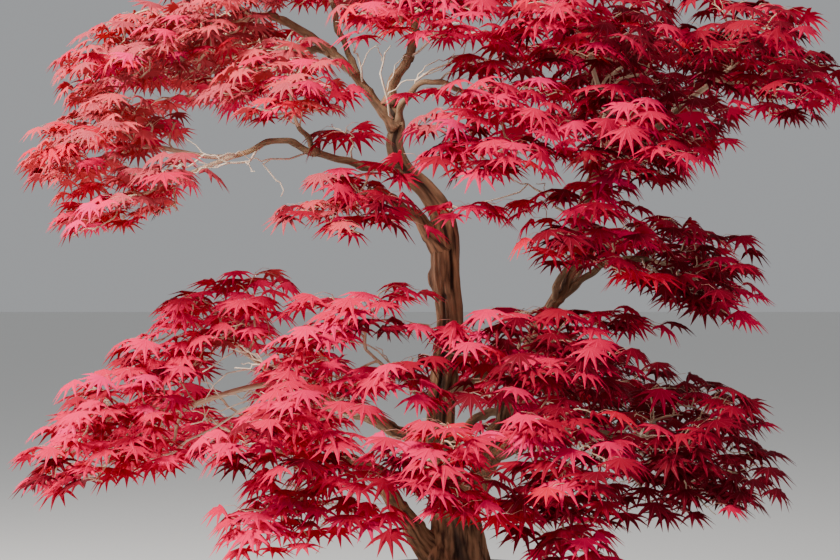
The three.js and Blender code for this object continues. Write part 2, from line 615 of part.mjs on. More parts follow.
addPiece('pot', turned(potProfile()), COLOUR.pot, 0.8);
addPiece('soil', turned(soilProfile()), COLOUR.soil, 1);
growTrunk();
for (const [name, limb] of Object.entries(LIMBS)) growLimb(name, limb);
const spaces = Object.keys(MASSES).map(makeSpace);
sharePlanes(spaces);
placeStems(spaces);
spaces.forEach((space, seed) => growMass(space, seed));

export default maple;
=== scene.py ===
"""A Japanese maple in a plain round pot: red leaves in tiers on a fluted trunk of fused stems.

Metres, Z up. The origin is the centre of the pot's flat underside, and -Y is the front.
"""

import math

import bpy
import numpy as np
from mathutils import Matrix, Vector


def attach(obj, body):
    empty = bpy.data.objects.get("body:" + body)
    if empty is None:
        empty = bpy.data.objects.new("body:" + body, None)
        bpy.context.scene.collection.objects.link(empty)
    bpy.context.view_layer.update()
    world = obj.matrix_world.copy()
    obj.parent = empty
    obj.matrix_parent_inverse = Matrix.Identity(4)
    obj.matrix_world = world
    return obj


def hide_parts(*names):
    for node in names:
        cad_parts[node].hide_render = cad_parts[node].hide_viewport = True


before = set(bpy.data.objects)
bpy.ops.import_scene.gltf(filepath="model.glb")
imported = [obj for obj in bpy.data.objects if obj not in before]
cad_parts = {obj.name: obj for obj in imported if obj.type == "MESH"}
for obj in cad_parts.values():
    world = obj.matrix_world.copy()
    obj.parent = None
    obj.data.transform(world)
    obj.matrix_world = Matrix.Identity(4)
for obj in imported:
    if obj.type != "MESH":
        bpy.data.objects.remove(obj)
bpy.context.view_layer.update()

# The camera stands level before the crown, with the pot below its view and the tree's top above it.
CAMERA_PLACE = (-0.0805, -4.025, 1.169)
CAMERA_LENS, SENSOR_WIDTH = 75.0, 36.0  # millimetres
CAMERA_REACH = 200.0

camera = bpy.data.objects.new("camera", bpy.data.cameras.new("camera"))
camera.data.lens = CAMERA_LENS
camera.data.sensor_width = SENSOR_WIDTH
camera.data.clip_end = CAMERA_REACH
camera.location = CAMERA_PLACE
camera.rotation_euler = (math.radians(90), 0, 0)
bpy.context.collection.objects.link(camera)
bpy.context.scene.camera = camera

# The studio: a plain pale floor under an even pale surround, a soft key lamp high on the left, a weaker one
# beside the crown that edges the trunk, and a weak wide lamp on the right that opens the shadows.
FLOOR_REACH = 60.0
SURROUND = (0.36, 0.368, 0.378, 1.0)
LAMPS = {  # place, where it points, width, watts and colour
    "key": ((-2.7, -2.0, 4.0), (-0.1, 0.0, 1.2), 0.9, 425.0, (1.0, 0.95, 0.92)),
    "side": ((-4.0, 1.0, 1.75), (0.0, 0.0, 1.2), 0.7, 120.0, (1.0, 0.95, 0.90)),
    "fill": ((4.2, -3.6, 2.2), (0.0, 0.0, 1.1), 3.5, 60.0, (0.90, 0.95, 1.0)),
}


def linear(red, green, blue):
    """A shader's colour from display parts of 0 to 255: each part over 255, to the power 2.2."""
    return (*(np.array([red, green, blue]) / 255) ** 2.2, 1.0)


def new_material(name, colour, roughness):
    """A material whose shader has this colour and roughness, with its node tree and its shader."""
    material = bpy.data.materials.new(name)
    material.use_nodes = True
    shader = material.node_tree.nodes["Principled BSDF"]
    shader.inputs["Base Color"].default_value = colour
    shader.inputs["Roughness"].default_value = roughness
    return material, material.node_tree, shader


def new_piece(name, points, faces, materials, which=None, smooth=True):
    """An object from an array of points and arrays of faces with three or four corners each. which gives
    each face's material, and all have the first one without it."""
    mesh = bpy.data.meshes.new(name)
    corners = np.concatenate([part.ravel() for part in faces])
    sizes = np.concatenate([np.full(len(part), part.shape[1]) for part in faces])
    mesh.vertices.add(len(points))
    mesh.vertices.foreach_set("co", np.ascontiguousarray(points, dtype=np.float32).ravel())
    mesh.loops.add(len(corners))
    mesh.loops.foreach_set("vertex_index", corners.astype(np.int32))
    mesh.polygons.add(len(sizes))
    mesh.polygons.foreach_set("loop_start", (np.cumsum(sizes) - sizes).astype(np.int32))
    for material in materials:
        mesh.materials.append(material)
    if which is not None:
        mesh.polygons.foreach_set("material_index", which.astype(np.int32))
    mesh.update(calc_edges=True)
    if smooth:
        mesh.shade_smooth()
    piece = bpy.data.objects.new(name, mesh)
    bpy.context.collection.objects.link(piece)
    return piece


floor_corners = np.array([(-1, -1, 0), (1, -1, 0), (1, 1, 0), (-1, 1, 0)]) * FLOOR_REACH
floor_material, _, _ = new_material("pale floor", linear(234, 233, 230), roughness=0.9)
floor = new_piece("floor", floor_corners, [np.array([[0, 1, 2, 3]])], [floor_material], smooth=False)

world = bpy.data.worlds.new("surround")
world.use_nodes = True
world.node_tree.nodes["Background"].inputs["Color"].default_value = SURROUND
bpy.context.scene.world = world

for lamp_name, (place, target, width, watts, lamp_colour) in LAMPS.items():
    lamp = bpy.data.objects.new(lamp_name, bpy.data.lights.new(lamp_name, "AREA"))
    lamp.data.shape = "DISK"
    lamp.data.size = width
    lamp.data.energy = watts
    lamp.data.color = lamp_colour
    lamp.location = place
    towards = Vector(target) - Vector(place)
    lamp.rotation_euler = towards.to_track_quat("-Z", "Y").to_euler()
    bpy.context.collection.objects.link(lamp)

# The pot: plain grey stoneware, thrown round, with a band under its lip and a low foot. It stands on the
# ground and holds the compost. Its outline and size are the CAD pot's, with every corner rounded.
POT_HEIGHT, POT_RIM, POT_WAIST, POT_FOOT = 0.480, 0.320, 0.296, 0.225
POT_WALL, POT_FLOOR, POT_BAND = 0.026, 0.034, 0.054
POT_SIDES, POT_STEP = 160, 0.012
POT_ROUNDING = 0.004
POT_UNEVEN, UNEVEN_SCALE, UNEVEN_SEED = 0.0007, 16, 5
GROOVE = 0.003
GAP = 0.0003  # clearance between two pieces that touch
RIPPLE_FINER, RIPPLE_FAINTER, RIPPLE_FULL = 1.7, 1.35, 1.9  # from one layer of waves to the next, and in all
CLAY, CLAY_DARK, CLAY_LIGHT = linear(128, 127, 123), linear(112, 111, 108), linear(146, 144, 139)
RAIN_STREAK, IRON_SPECK = linear(168, 166, 158), linear(58, 50, 44)
DAMP_FOOT, RUBBED_LIP = linear(84, 84, 78), linear(176, 174, 168)
DAMP_RISES, LIP_FROM, LIP_TO = 0.16, 0.471, 0.479
BLACK, WHITE = (0, 0, 0, 1), (1, 1, 1, 1)
NOISE_DETAIL, FINE_DETAIL, FINE_SCALE = 5.0, 3.0, 9.0


def rounded(corners, cut, steps=5):
    """A profile whose corners are replaced by arcs: quadratic curves from `cut` before each corner to `cut`
    after it, with the corner as their control point. The two ends stay."""
    corners = np.asarray(corners, float)
    before, corner, after = corners[:-2], corners[1:-1], corners[2:]
    back, ahead = before - corner, after - corner
    back_length = np.linalg.norm(back, axis=1, keepdims=True)
    ahead_length = np.linalg.norm(ahead, axis=1, keepdims=True)
    start = corner + back / back_length * np.minimum(cut, back_length * 0.45)
    end = corner + ahead / ahead_length * np.minimum(cut, ahead_length * 0.45)
    t = np.linspace(0, 1, steps)[None, :, None]
    arcs = start[:, None] * (1 - t) ** 2 + corner[:, None] * 2 * t * (1 - t) + end[:, None] * t**2
    return np.vstack([corners[:1], arcs.reshape(-1, 2), corners[-1:]])


def lengths_along(points):
    """The length from the start of a path, or of each of many, to each of its points."""
    steps = np.linalg.norm(np.diff(points, axis=-2), axis=-1)
    return np.concatenate([np.zeros((*steps.shape[:-1], 1)), np.cumsum(steps, axis=-1)], axis=-1)


def refined(profile, step):
    """The same profile with points no further apart than step, by straight interpolation along its length."""
    lengths = lengths_along(profile)
    along = np.unique(np.concatenate([lengths, np.arange(0, lengths[-1], step)]))
    return np.stack([np.interp(along, lengths, profile[:, k]) for k in range(2)], axis=1)


def turned(profile, sides, wobble):
    """A profile of radii and heights carried round the Z axis: (r cos t, r sin t, z). The first and last
    points lie on the axis, where fans close the surface. wobble(x, y, z) gives what is added to r and z."""
    turn = 2 * np.pi * np.arange(sides) / sides
    radius = np.repeat(profile[1:-1, 0][:, None], sides, axis=1)
    height = np.repeat(profile[1:-1, 1][:, None], sides, axis=1)
    out, up = wobble(radius * np.cos(turn), radius * np.sin(turn), height)
    radius, height = radius + out, height + up
    points = np.stack([radius * np.cos(turn), radius * np.sin(turn), height], axis=-1).reshape(-1, 3)
    poles = np.array([(0, 0, profile[0, 1]), (0, 0, height[-1].mean())])
    here = np.arange(height.size).reshape(height.shape)
    beside = np.roll(here, -1, axis=1)
    quads = np.stack([here[:-1], beside[:-1], beside[1:], here[1:]], axis=-1).reshape(-1, 4)
    first = np.stack([np.full(sides, len(points)), beside[0], here[0]], axis=-1)
    last = np.stack([np.full(sides, len(points) + 1), here[-1], beside[-1]], axis=-1)
    return np.vstack([points, poles]), [quads, np.vstack([first, last])]


def ripple(x, y, z, scale, seed, layers=4):
    """A smooth uneven value from -1 to 1: the mean of sines of the place along seeded directions, three to a
    layer, each layer finer and fainter than the one before."""
    dice = np.random.default_rng(seed)
    total = np.zeros(np.broadcast(x, y, z).shape)
    for layer in np.repeat(np.arange(layers), 3).tolist():
        way = dice.normal(size=3)
        way *= scale * RIPPLE_FINER**layer / np.linalg.norm(way)
        wave = np.sin(way[0] * x + way[1] * y + way[2] * z + dice.uniform(0, 6.28))
        total += wave / RIPPLE_FAINTER**layer
    return total / (layers * RIPPLE_FULL)


def fed(tree, node, values):
    """A node whose inputs, by name or place, are linked to sockets or set to numbers and colours."""
    for place, value in values.items():
        if isinstance(value, bpy.types.NodeSocket):
            tree.links.new(value, node.inputs[place])
        else:
            node.inputs[place].default_value = value
    return node


def add_math(tree, operation, values, clamp=False):
    """What an operation gives for sockets and numbers, as a socket."""
    node = tree.nodes.new("ShaderNodeMath")
    node.operation = operation
    node.use_clamp = clamp
    return fed(tree, node, dict(enumerate(values))).outputs[0]


def add_mix(tree, factor, first, second):
    """A colour mix of two sockets or colours by a factor socket, as a socket."""
    node = tree.nodes.new("ShaderNodeMix")
    node.data_type = "RGBA"
    return fed(tree, node, {0: factor, 6: first, 7: second}).outputs[2]


def add_range(tree, value, low=0.0, high=1.0, to_low=0.0, to_high=1.0):
    """A socket's value carried from one range to another, smoothly, and held at its ends."""
    node = tree.nodes.new("ShaderNodeMapRange")
    node.interpolation_type = "SMOOTHSTEP"
    return fed(tree, node, dict(enumerate((value, low, high, to_low, to_high)))).outputs[0]


def add_bump(tree, height, distance):
    """The normal that a height socket's bump gives."""
    node = fed(tree, tree.nodes.new("ShaderNodeBump"), {"Height": height, "Distance": distance})
    return node.outputs["Normal"]


def add_stretch(tree, vector, scale):
    """A vector socket stretched by a scale along each axis."""
    node = fed(tree, tree.nodes.new("ShaderNodeMapping"), {"Vector": vector, "Scale": scale})
    return node.outputs["Vector"]


def add_noise(tree, vector, scale, detail):
    """Noise at a vector socket, as a socket."""
    values = {"Vector": vector, "Scale": scale, "Detail": detail}
    return fed(tree, tree.nodes.new("ShaderNodeTexNoise"), values).outputs["Fac"]


def mottle_group():
    """Uneven tone: noise at a scale, sharpened by a contrast, that mixes a dark and a light colour. It puts
    out the colour, the noise as a mask, and a finer noise as a height."""
    group = bpy.data.node_groups.new("mottle", "ShaderNodeTree")
    for direction, sockets in (
        ("INPUT", {
            "Vector": "Vector", "Scale": "Float", "Contrast": "Float", "Dark": "Color", "Light": "Color"}),
        ("OUTPUT", {"Colour": "Color", "Mask": "Float", "Height": "Float"}),
    ):
        for label, kind in sockets.items():
            group.interface.new_socket(label, in_out=direction, socket_type=f"NodeSocket{kind}")
    given = group.nodes.new("NodeGroupInput").outputs
    coarse = add_noise(group, given["Vector"], given["Scale"], NOISE_DETAIL)
    finer = add_math(group, "MULTIPLY", (given["Scale"], FINE_SCALE))
    fine = add_noise(group, given["Vector"], finer, FINE_DETAIL)
    level = add_math(group, "SUBTRACT", (coarse, 0.5))
    mask = add_math(group, "MULTIPLY_ADD", (level, given["Contrast"], 0.5), clamp=True)
    colour = add_mix(group, mask, given["Dark"], given["Light"])
    fed(group, group.nodes.new("NodeGroupOutput"), {"Colour": colour, "Mask": mask, "Height": fine})
    return group


MOTTLE = mottle_group()


def add_mottle(tree, vector, scale, contrast, dark=BLACK, light=WHITE):
    """The outputs of the mottle group in a material, with its values, where it reads a vector socket."""
    node = tree.nodes.new("ShaderNodeGroup")
    node.node_tree = MOTTLE
    values = {"Vector": vector, "Scale": scale, "Contrast": contrast, "Dark": dark, "Light": light}
    return fed(tree, node, values).outputs


def stoneware():
    """Grey clay with iron specks, rain streaks down its side, a rubbed pale lip and a damp dark foot."""
    material, tree, shader = new_material("grey stoneware", CLAY, roughness=0.7)
    place = tree.nodes.new("ShaderNodeTexCoord").outputs["Object"]
    body = add_mottle(tree, place, scale=7.0, contrast=1.6, dark=CLAY_DARK, light=CLAY_LIGHT)
    streak = add_mottle(tree, add_stretch(tree, place, (1, 1, 0.08)), scale=22.0, contrast=4.0)["Mask"]
    speck = add_mottle(tree, place, scale=160.0, contrast=9.0)["Mask"]
    height = fed(tree, tree.nodes.new("ShaderNodeSeparateXYZ"), {0: place}).outputs["Z"]
    damp = add_range(tree, height, low=DAMP_RISES, high=0.0)
    lip = add_range(tree, height, low=LIP_FROM, high=LIP_TO)
    colour = body["Colour"]
    for cover, tone in (
        (add_range(tree, streak, low=0.55, high=1.0, to_high=0.5), RAIN_STREAK),
        (add_range(tree, speck, low=0.12, high=0.0, to_high=0.7), IRON_SPECK),
        (add_math(tree, "MULTIPLY", (damp, body["Mask"])), DAMP_FOOT),
        (add_range(tree, lip, to_high=0.35), RUBBED_LIP),
    ):
        colour = add_mix(tree, cover, colour, tone)
    rough = add_range(tree, body["Mask"], to_low=0.58, to_high=0.82)
    bump = add_bump(tree, body["Height"], distance=0.0008)
    fed(tree, shader, {"Base Color": colour, "Roughness": rough, "Normal": bump})
    return material


band_foot = POT_HEIGHT - POT_BAND
rim_inside, waist_inside, foot_inside = POT_RIM - POT_WALL, POT_WAIST - POT_WALL, POT_FOOT - POT_WALL
pot_profile = rounded([
    (0, 0), (POT_FOOT, 0), (POT_FOOT + 0.002, 0.012), (POT_FOOT - 0.002, 0.022), (POT_FOOT + 0.004, 0.034),
    (POT_WAIST, band_foot - 0.008), (POT_RIM - 0.004, band_foot), (POT_RIM, band_foot + 0.006),
    (POT_RIM, POT_HEIGHT - 0.035), (POT_RIM - GROOVE, POT_HEIGHT - 0.032),
    (POT_RIM - GROOVE, POT_HEIGHT - 0.030), (POT_RIM, POT_HEIGHT - 0.027), (POT_RIM, POT_HEIGHT - 0.003),
    (POT_RIM - 0.006, POT_HEIGHT), (rim_inside + 0.004, POT_HEIGHT), (rim_inside - 0.004, POT_HEIGHT - 0.008),
    (waist_inside, band_foot - 0.020), (foot_inside + 0.006, POT_FLOOR + 0.008),
    (foot_inside - 0.004, POT_FLOOR), (0, POT_FLOOR),
], POT_ROUNDING)
pot_points, pot_faces = turned(
    refined(pot_profile, POT_STEP), POT_SIDES,
    lambda x, y, z: (POT_UNEVEN * ripple(x, y, z * 3, UNEVEN_SCALE, UNEVEN_SEED), 0 * z),
)
pot = new_piece("stoneware_pot", pot_points, pot_faces, [stoneware()])
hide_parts("pot")
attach(pot, "root")

# The compost fills the pot to a little under its lip and rises to the trunk's foot. It is dark and crumbly:
# a lumpy surface, and loose crumbs and grit strewn on it.
SOIL_TOP = POT_HEIGHT - 0.040
SOIL_MOUND = 0.014
SOIL_EDGE = waist_inside + 0.0045
SOIL_RINGS, SOIL_SIDES = 70, 150
TRUNK_FOOT = 0.090
LUMP_HEIGHT = 0.008
CRUMBS, CRUMB_SEED = 2600, 3
CRUMB_LEAST, CRUMB_MORE = 0.0016, 0.0035  # the smallest crumb's half size, and what the largest has more
CRUMB_PROUD, CRUMB_UNEVEN, CRUMB_SPIN = 0.35, (0.6, 1.2), 7
EDGE_DROP = 0.003
EARTH, EARTH_DARK, EARTH_LIGHT, EARTH_BIT = (
    linear(52, 37, 27), linear(30, 21, 16), linear(84, 62, 45), linear(128, 104, 78))
GRIT, GRIT_SHARE = linear(142, 124, 100), 0.1


def soil_level(radius):
    """The compost's level at a distance from the middle: level round the trunk, then falling to the edge."""
    share = np.clip((radius - TRUNK_FOOT) / (SOIL_EDGE - TRUNK_FOOT), 0, 1)
    return SOIL_TOP - SOIL_MOUND * share**1.3


def lumps(x, y, z):
    """Lumps on the compost's top, a few millimetres up and down, and none on its side."""
    radius = np.hypot(x, y)
    top = (z > SOIL_TOP - SOIL_MOUND - 0.002) & (radius < SOIL_EDGE - 0.004)
    uneven = 0.6 * ripple(x, y, z, scale=60, seed=11) + 0.4 * np.abs(ripple(x, y, z, scale=210, seed=12))
    return 0 * x, np.where(top, LUMP_HEIGHT * uneven, 0)


def compost():
    """Dark brown crumbly earth, in tones from near black to a dry brown."""
    material, tree, shader = new_material("compost", EARTH, roughness=0.95)
    place = tree.nodes.new("ShaderNodeTexCoord").outputs["Object"]
    body = add_mottle(tree, place, scale=34.0, contrast=2.6, dark=EARTH_DARK, light=EARTH_LIGHT)
    bits = add_mottle(tree, place, scale=150.0, contrast=7.0)["Mask"]
    bits = add_range(tree, bits, low=0.9, high=1.0, to_high=0.6)
    fed(tree, shader, {
        "Base Color": add_mix(tree, bits, body["Colour"], EARTH_BIT),
        "Roughness": add_range(tree, body["Mask"], to_low=0.98, to_high=0.86),
        "Normal": add_bump(tree, body["Height"], distance=0.003),
    })
    return material


soil_rings = np.linspace(SOIL_EDGE, 0, SOIL_RINGS)[:-1]
soil_profile = np.vstack([
    [(0, POT_FLOOR + GAP), (foot_inside - 0.0043, POT_FLOOR + GAP)],
    [(foot_inside + 0.0057, POT_FLOOR + 0.008), (waist_inside - GAP, band_foot - 0.020)],
    np.stack([soil_rings, soil_level(soil_rings) - EDGE_DROP * (soil_rings > SOIL_EDGE - 0.001)], axis=1),
    [(0, SOIL_TOP)],
])
soil_material = compost()
soil = new_piece("compost", *turned(soil_profile, SOIL_SIDES, lumps), [soil_material])
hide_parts("soil")
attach(soil, "root")

dice = np.random.default_rng(CRUMB_SEED)
crumb_radius = np.sqrt(dice.uniform(TRUNK_FOOT**2, (SOIL_EDGE - 0.008) ** 2, CRUMBS))
crumb_turn = dice.uniform(0, 2 * np.pi, CRUMBS)
crumb_size = CRUMB_LEAST + CRUMB_MORE * dice.uniform(0, 1, CRUMBS) ** 3
crumb_x, crumb_y = crumb_radius * np.cos(crumb_turn), crumb_radius * np.sin(crumb_turn)
crumb_z = soil_level(crumb_radius) + lumps(crumb_x, crumb_y, np.full(CRUMBS, SOIL_TOP))[1]
crumb_centre = np.stack([crumb_x, crumb_y, crumb_z + crumb_size * CRUMB_PROUD], axis=1)
crumb_corners = np.array([(1, 0, 0), (-1, 0, 0), (0, 1, 0), (0, -1, 0), (0, 0, 1), (0, 0, -1)], float)
crumb_sides = np.array([
    (0, 2, 4), (2, 1, 4), (1, 3, 4), (3, 0, 4), (2, 0, 5), (1, 2, 5), (3, 1, 5), (0, 3, 5)])
crumb_shape = crumb_corners * dice.uniform(*CRUMB_UNEVEN, (CRUMBS, 6, 1)) * crumb_size[:, None, None]
crumb_spin = np.stack([np.cos(crumb_turn * CRUMB_SPIN), np.sin(crumb_turn * CRUMB_SPIN)], axis=1)[:, None]
crumb_points = np.stack([
    crumb_shape[..., 0] * crumb_spin[..., 0] - crumb_shape[..., 1] * crumb_spin[..., 1],
    crumb_shape[..., 0] * crumb_spin[..., 1] + crumb_shape[..., 1] * crumb_spin[..., 0],
    crumb_shape[..., 2],
], axis=-1) + crumb_centre[:, None]
crumb_faces = (crumb_sides[None] + 6 * np.arange(CRUMBS)[:, None, None]).reshape(-1, 3)
grit_material, _, _ = new_material("pale grit", GRIT, roughness=0.9)
crumb_kind = np.repeat((dice.uniform(0, 1, CRUMBS) > 1 - GRIT_SHARE).astype(int), len(crumb_sides))
crumbs = new_piece("compost_crumbs", crumb_points.reshape(-1, 3), [crumb_faces],
                   [soil_material, grit_material], crumb_kind, smooth=False)
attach(crumbs, "root")

# The trunk: several stems fused into one from the root flare up, so that it is fluted, and the S-shaped
# leader above its first bend. The bark is warm and brown, with ridges and streaks that run along it.
TRUNK_LINE = [  # rise above the compost, x, y and radius
    (0, 0, 0, 0.090), (0.030, 0, 0, 0.078), (0.085, 0.002, 0, 0.070), (0.155, 0.002, 0.002, 0.054),
    (0.245, -0.012, 0.004, 0.042), (0.360, -0.035, 0, 0.033), (0.500, -0.028, -0.004, 0.029),
    (0.635, -0.012, 0, 0.028), (0.730, -0.020, 0.004, 0.033), (0.825, -0.024, 0.004, 0.035),
    (0.880, -0.032, 0, 0.027), (0.935, -0.066, -0.004, 0.021), (0.985, -0.118, 0, 0.019),
    (1.040, -0.138, 0.004, 0.018), (1.090, -0.132, 0, 0.017), (1.135, -0.156, 0, 0.013),
]
TRUNK_FLUTES, TRUNK_PHASE, TRUNK_TWIST = 3, 0.7, 0.12
FLUTE_AT_FOOT, FLUTE_AT_TOP = 0.13, 0.05
FLUTE_FOLD, FLUTE_SINK = 0.35, 0.2
BUTTRESS_RISE = 0.05
BUTTRESSES = ((0.10, 5, 1.1), (0.05, 8, 0.0))  # height as a share of the radius, number round, first turn
TRUNK_MARKS = {  # rise, turn, reach along and round, and height as a share of the radius
    "seam between two stems": (0.785, -1.30, 0.080, 0.13, -0.36),
    "seam on the left stem": (0.560, -1.95, 0.150, 0.13, -0.26),
    "seam on the right stem": (0.400, -0.95, 0.170, 0.14, -0.28),
    "seam on the back": (0.620, 1.50, 0.300, 0.16, -0.34),
    "healed knot on the left": (0.733, 3.05, 0.020, 0.42, 0.26),
    "crease under the knot": (0.690, -2.30, 0.007, 0.75, -0.16),
    "healed knot on the right": (0.500, 0.10, 0.018, 0.40, 0.20),
    "knot at the bend": (0.905, -0.60, 0.014, 0.35, 0.20),
}
SEAM_WANDER, SEAM_PITCH = 0.22, 27  # seams wander, swellings don't
TRUNK_SIDES, TRUNK_STEPS = 120, 30  # around, and between two stations
TRUNK_SEED = 21
BARK_WANDER = ((0.6, 9), (0.35, 23))  # how far the ridges wander, and the pitch
BARK_SWELLS = (  # waves round the limb, pitch along it, and height as a share of the radius
    (2, 7, 0.045), (3, 13, 0.035), (5, 17, 0.03), (8, 9, 0.018), (13, 12, 0.014))
RIDGE_HEIGHT, WRINKLE_HEIGHT = 0.050, 0.010  # as shares of the radius
RIDGES, RIDGE_LEAN, RIDGE_WANDER, WRINKLE_PITCH, WRINKLE_BEND = 9, 5, 2.2, 140, 3
FINE_BELOW = 0.03  # thinner wood has less of ridges and wrinkles
# Painted shade in the bark's furrows: a base share, less the flutes, the relief and the marks, each weighed.
FURROW_FROM, FURROW_FLUTE, FURROW_RELIEF, FURROW_MARK = 0.15, 0.60, 7, 5  # what darkens a furrow
TRUNK_YOUNG_FROM, TRUNK_YOUNG_BY, TRUNK_YOUNG_MOST = 0.032, 0.016, 0.8
BARK_DARK, BARK_LIGHT, BARK_WORN = linear(64, 39, 25), linear(162, 116, 80), linear(190, 148, 110)
# The last colour is painted shade, laid into the furrows and the hollows between the flutes.
YOUNG_DARK, YOUNG_LIGHT, FURROW_SHADE = linear(94, 72, 50), linear(158, 128, 96), linear(34, 20, 13)
UP = np.array([0.0, 0.0, 1.0])


def unit(vectors):
    """Vectors of length one in the same directions."""
    return vectors / np.maximum(np.linalg.norm(vectors, axis=-1, keepdims=True), 1e-12)


def curve_through(points, share):
    """Points at shares 0 to 1 of a centripetal Catmull-Rom curve, on which each span takes an equal share:
    a cubic on each span, whose end tangents weigh its own chord and its neighbours' by the square roots of
    their lengths. Beyond both ends the curve is mirrored."""
    points = np.asarray(points, float)
    ends = np.vstack([2 * points[0] - points[1], points, 2 * points[-1] - points[-2]])
    spans = np.linalg.norm(np.diff(ends, axis=0), axis=1) ** 0.5
    place = np.clip(share, 0, 1) * (len(points) - 1)
    span = np.minimum(place.astype(int), len(points) - 2)
    t = (place - span)[:, None]
    before, here, there, after = (ends[span + k] for k in range(4))
    a, b, c = (spans[span + k][:, None] for k in range(3))
    chord = there - here
    first = chord + b * ((here - before) / a - (there - before) / (a + b))
    last = chord + b * ((after - there) / c - (after - here) / (b + c))
    return here + first * t + (3 * chord - 2 * first - last) * t**2 + (first + last - 2 * chord) * t**3


def even_steps(points, step):
    """The points of that curve at equal lengths, and the length at each, measured on fine chords."""
    fine = curve_through(points, np.linspace(0, 1, 200 * (len(points) - 1) + 1))
    lengths = lengths_along(fine)
    along = np.linspace(0, lengths[-1], max(4, round(lengths[-1] / step)) + 1)
    return np.stack([np.interp(along, lengths, fine[:, k]) for k in range(3)], axis=1), along


def tubes(centres, radii, sides, reference):
    """Closed tubes along many paths at once. A point is its path's centre + radius * (cos(turn) * across +
    sin(turn) * deep), where across is the reference direction laid square to the path and deep is square to
    both. Returns the points, the faces, and each point's place on the tube laid straight."""
    tubes_count, stations = centres.shape[:2]
    tangents = unit(np.gradient(centres, axis=1))
    across = np.broadcast_to(reference, centres.shape)
    across = unit(across - (across * tangents).sum(-1, keepdims=True) * tangents)
    deep = np.cross(tangents, across)
    turn = 2 * np.pi * np.arange(sides) / sides
    radii = np.broadcast_to(radii, (tubes_count, stations, sides))
    wide, far = radii * np.cos(turn), radii * np.sin(turn)
    points = centres[:, :, None] + wide[..., None] * across[:, :, None] + far[..., None] * deep[:, :, None]
    along = lengths_along(centres)
    straight = np.stack([wide, far, np.broadcast_to(along[..., None], wide.shape)], axis=-1)
    index = np.arange(tubes_count * stations * sides).reshape(tubes_count, stations, sides)
    beside = np.roll(index, -1, axis=2)
    quads = np.stack([index[:, :-1], beside[:, :-1], beside[:, 1:], index[:, 1:]], axis=-1).reshape(-1, 4)
    middles = index.size + np.arange(2 * tubes_count).reshape(2, tubes_count, 1)
    root = np.stack([np.broadcast_to(middles[0], index[:, 0].shape), beside[:, 0], index[:, 0]], axis=-1)
    tip = np.stack([np.broadcast_to(middles[1], index[:, -1].shape), index[:, -1], beside[:, -1]], axis=-1)
    ends = np.vstack([centres[:, 0], centres[:, -1]])
    end_places = np.zeros((2 * tubes_count, 3))
    end_places[tubes_count:, 2] = along[:, -1]
    faces = [quads, np.vstack([root.reshape(-1, 3), tip.reshape(-1, 3)])]
    return np.vstack([points.reshape(-1, 3), ends]), faces, np.vstack([straight.reshape(-1, 3), end_places])


def bark_relief(turn, along, radius, seed):
    """What bark adds to a radius, as a share of it: broad swells, ridges that wander as they run along, and
    short cross wrinkles. Each is a cosine of a whole number of turns plus the length along, with a seeded
    phase."""
    dice = np.random.default_rng(seed)
    wander = sum(share * np.sin(along * pitch + dice.uniform(0, 6.28)) for share, pitch in BARK_WANDER)
    total = 0
    for count, pitch, share in BARK_SWELLS:
        shift = dice.uniform(0, 6.28)
        total = total + share * np.cos(count * turn + pitch * along + wander + shift)
    shift = dice.uniform(0, 6.28)
    ridges = np.abs(np.sin(RIDGES * turn + RIDGE_LEAN * along + RIDGE_WANDER * wander + shift))
    bend = WRINKLE_BEND * np.sin(2 * turn + 11 * along)
    wrinkles = np.cos(WRINKLE_PITCH * along + bend) * np.cos(3 * turn + 31 * along)
    fine = np.clip(radius / FINE_BELOW, 0.25, 1)
    return total + fine * (RIDGE_HEIGHT * ridges**0.7 - RIDGE_HEIGHT / 2) + WRINKLE_HEIGHT * fine * wrinkles


def bark():
    """Warm brown bark: streaks along the limb, painted shade darkening its furrows, pale worn ridges and
    paler young wood where the limb is thin. Its patterns follow the limb laid straight."""
    material, tree, shader = new_material("maple bark", linear(108, 74, 50), roughness=0.8)
    read = {label: tree.nodes.new("ShaderNodeAttribute") for label in ("straight", "young", "furrow_shade")}
    for label, node in read.items():
        node.attribute_name = label
    straight = read["straight"].outputs["Vector"]
    along = add_stretch(tree, straight, (1, 1, 0.11))
    streaks = add_mottle(tree, along, scale=95.0, contrast=3.8, dark=BARK_DARK, light=BARK_LIGHT)
    patches = add_mottle(tree, add_stretch(tree, straight, (1, 1, 0.5)), scale=18.0, contrast=2.6)["Mask"]
    young = add_mottle(tree, along, scale=130.0, contrast=2.0, dark=YOUNG_DARK, light=YOUNG_LIGHT)["Colour"]
    colour = add_mix(tree, read["young"].outputs["Fac"], streaks["Colour"], young)
    worn = add_range(tree, patches, low=0.55, high=1.0, to_high=0.48)
    colour = add_mix(tree, worn, colour, BARK_WORN)
    # Painted shade: the bark darkens where a point lies deep in a furrow.
    deep = add_range(tree, read["furrow_shade"].outputs["Fac"], to_high=0.85)
    fed(tree, shader, {
        "Base Color": add_mix(tree, deep, colour, FURROW_SHADE),
        "Roughness": add_range(tree, streaks["Mask"], to_low=0.9, to_high=0.66),
        "Normal": add_bump(tree, streaks["Height"], distance=0.0020),
    })
    return material


BARK = bark()


def new_bark(name, points, faces, straight, young, furrow_shade, nodes):
    """A piece of bark with what its material reads: each point's place on the straight limb, how young the
    wood is and how much painted shade its furrow gets."""
    piece = new_piece(name, points, faces, [BARK])
    for label, kind, field, values in (
        ("straight", "FLOAT_VECTOR", "vector", straight), ("young", "FLOAT", "value", young),
        ("furrow_shade", "FLOAT", "value", furrow_shade),
    ):
        kept = piece.data.attributes.new(label, kind, "POINT")
        kept.data.foreach_set(field, values.astype(np.float32).ravel())
    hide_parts(*nodes)
    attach(piece, "root")


def with_ends(values):
    """Values round a tube's stations as one row, with the first and the last station's for its two ends."""
    return np.append(values.ravel(), [values[0, 0], values[-1, 0]])


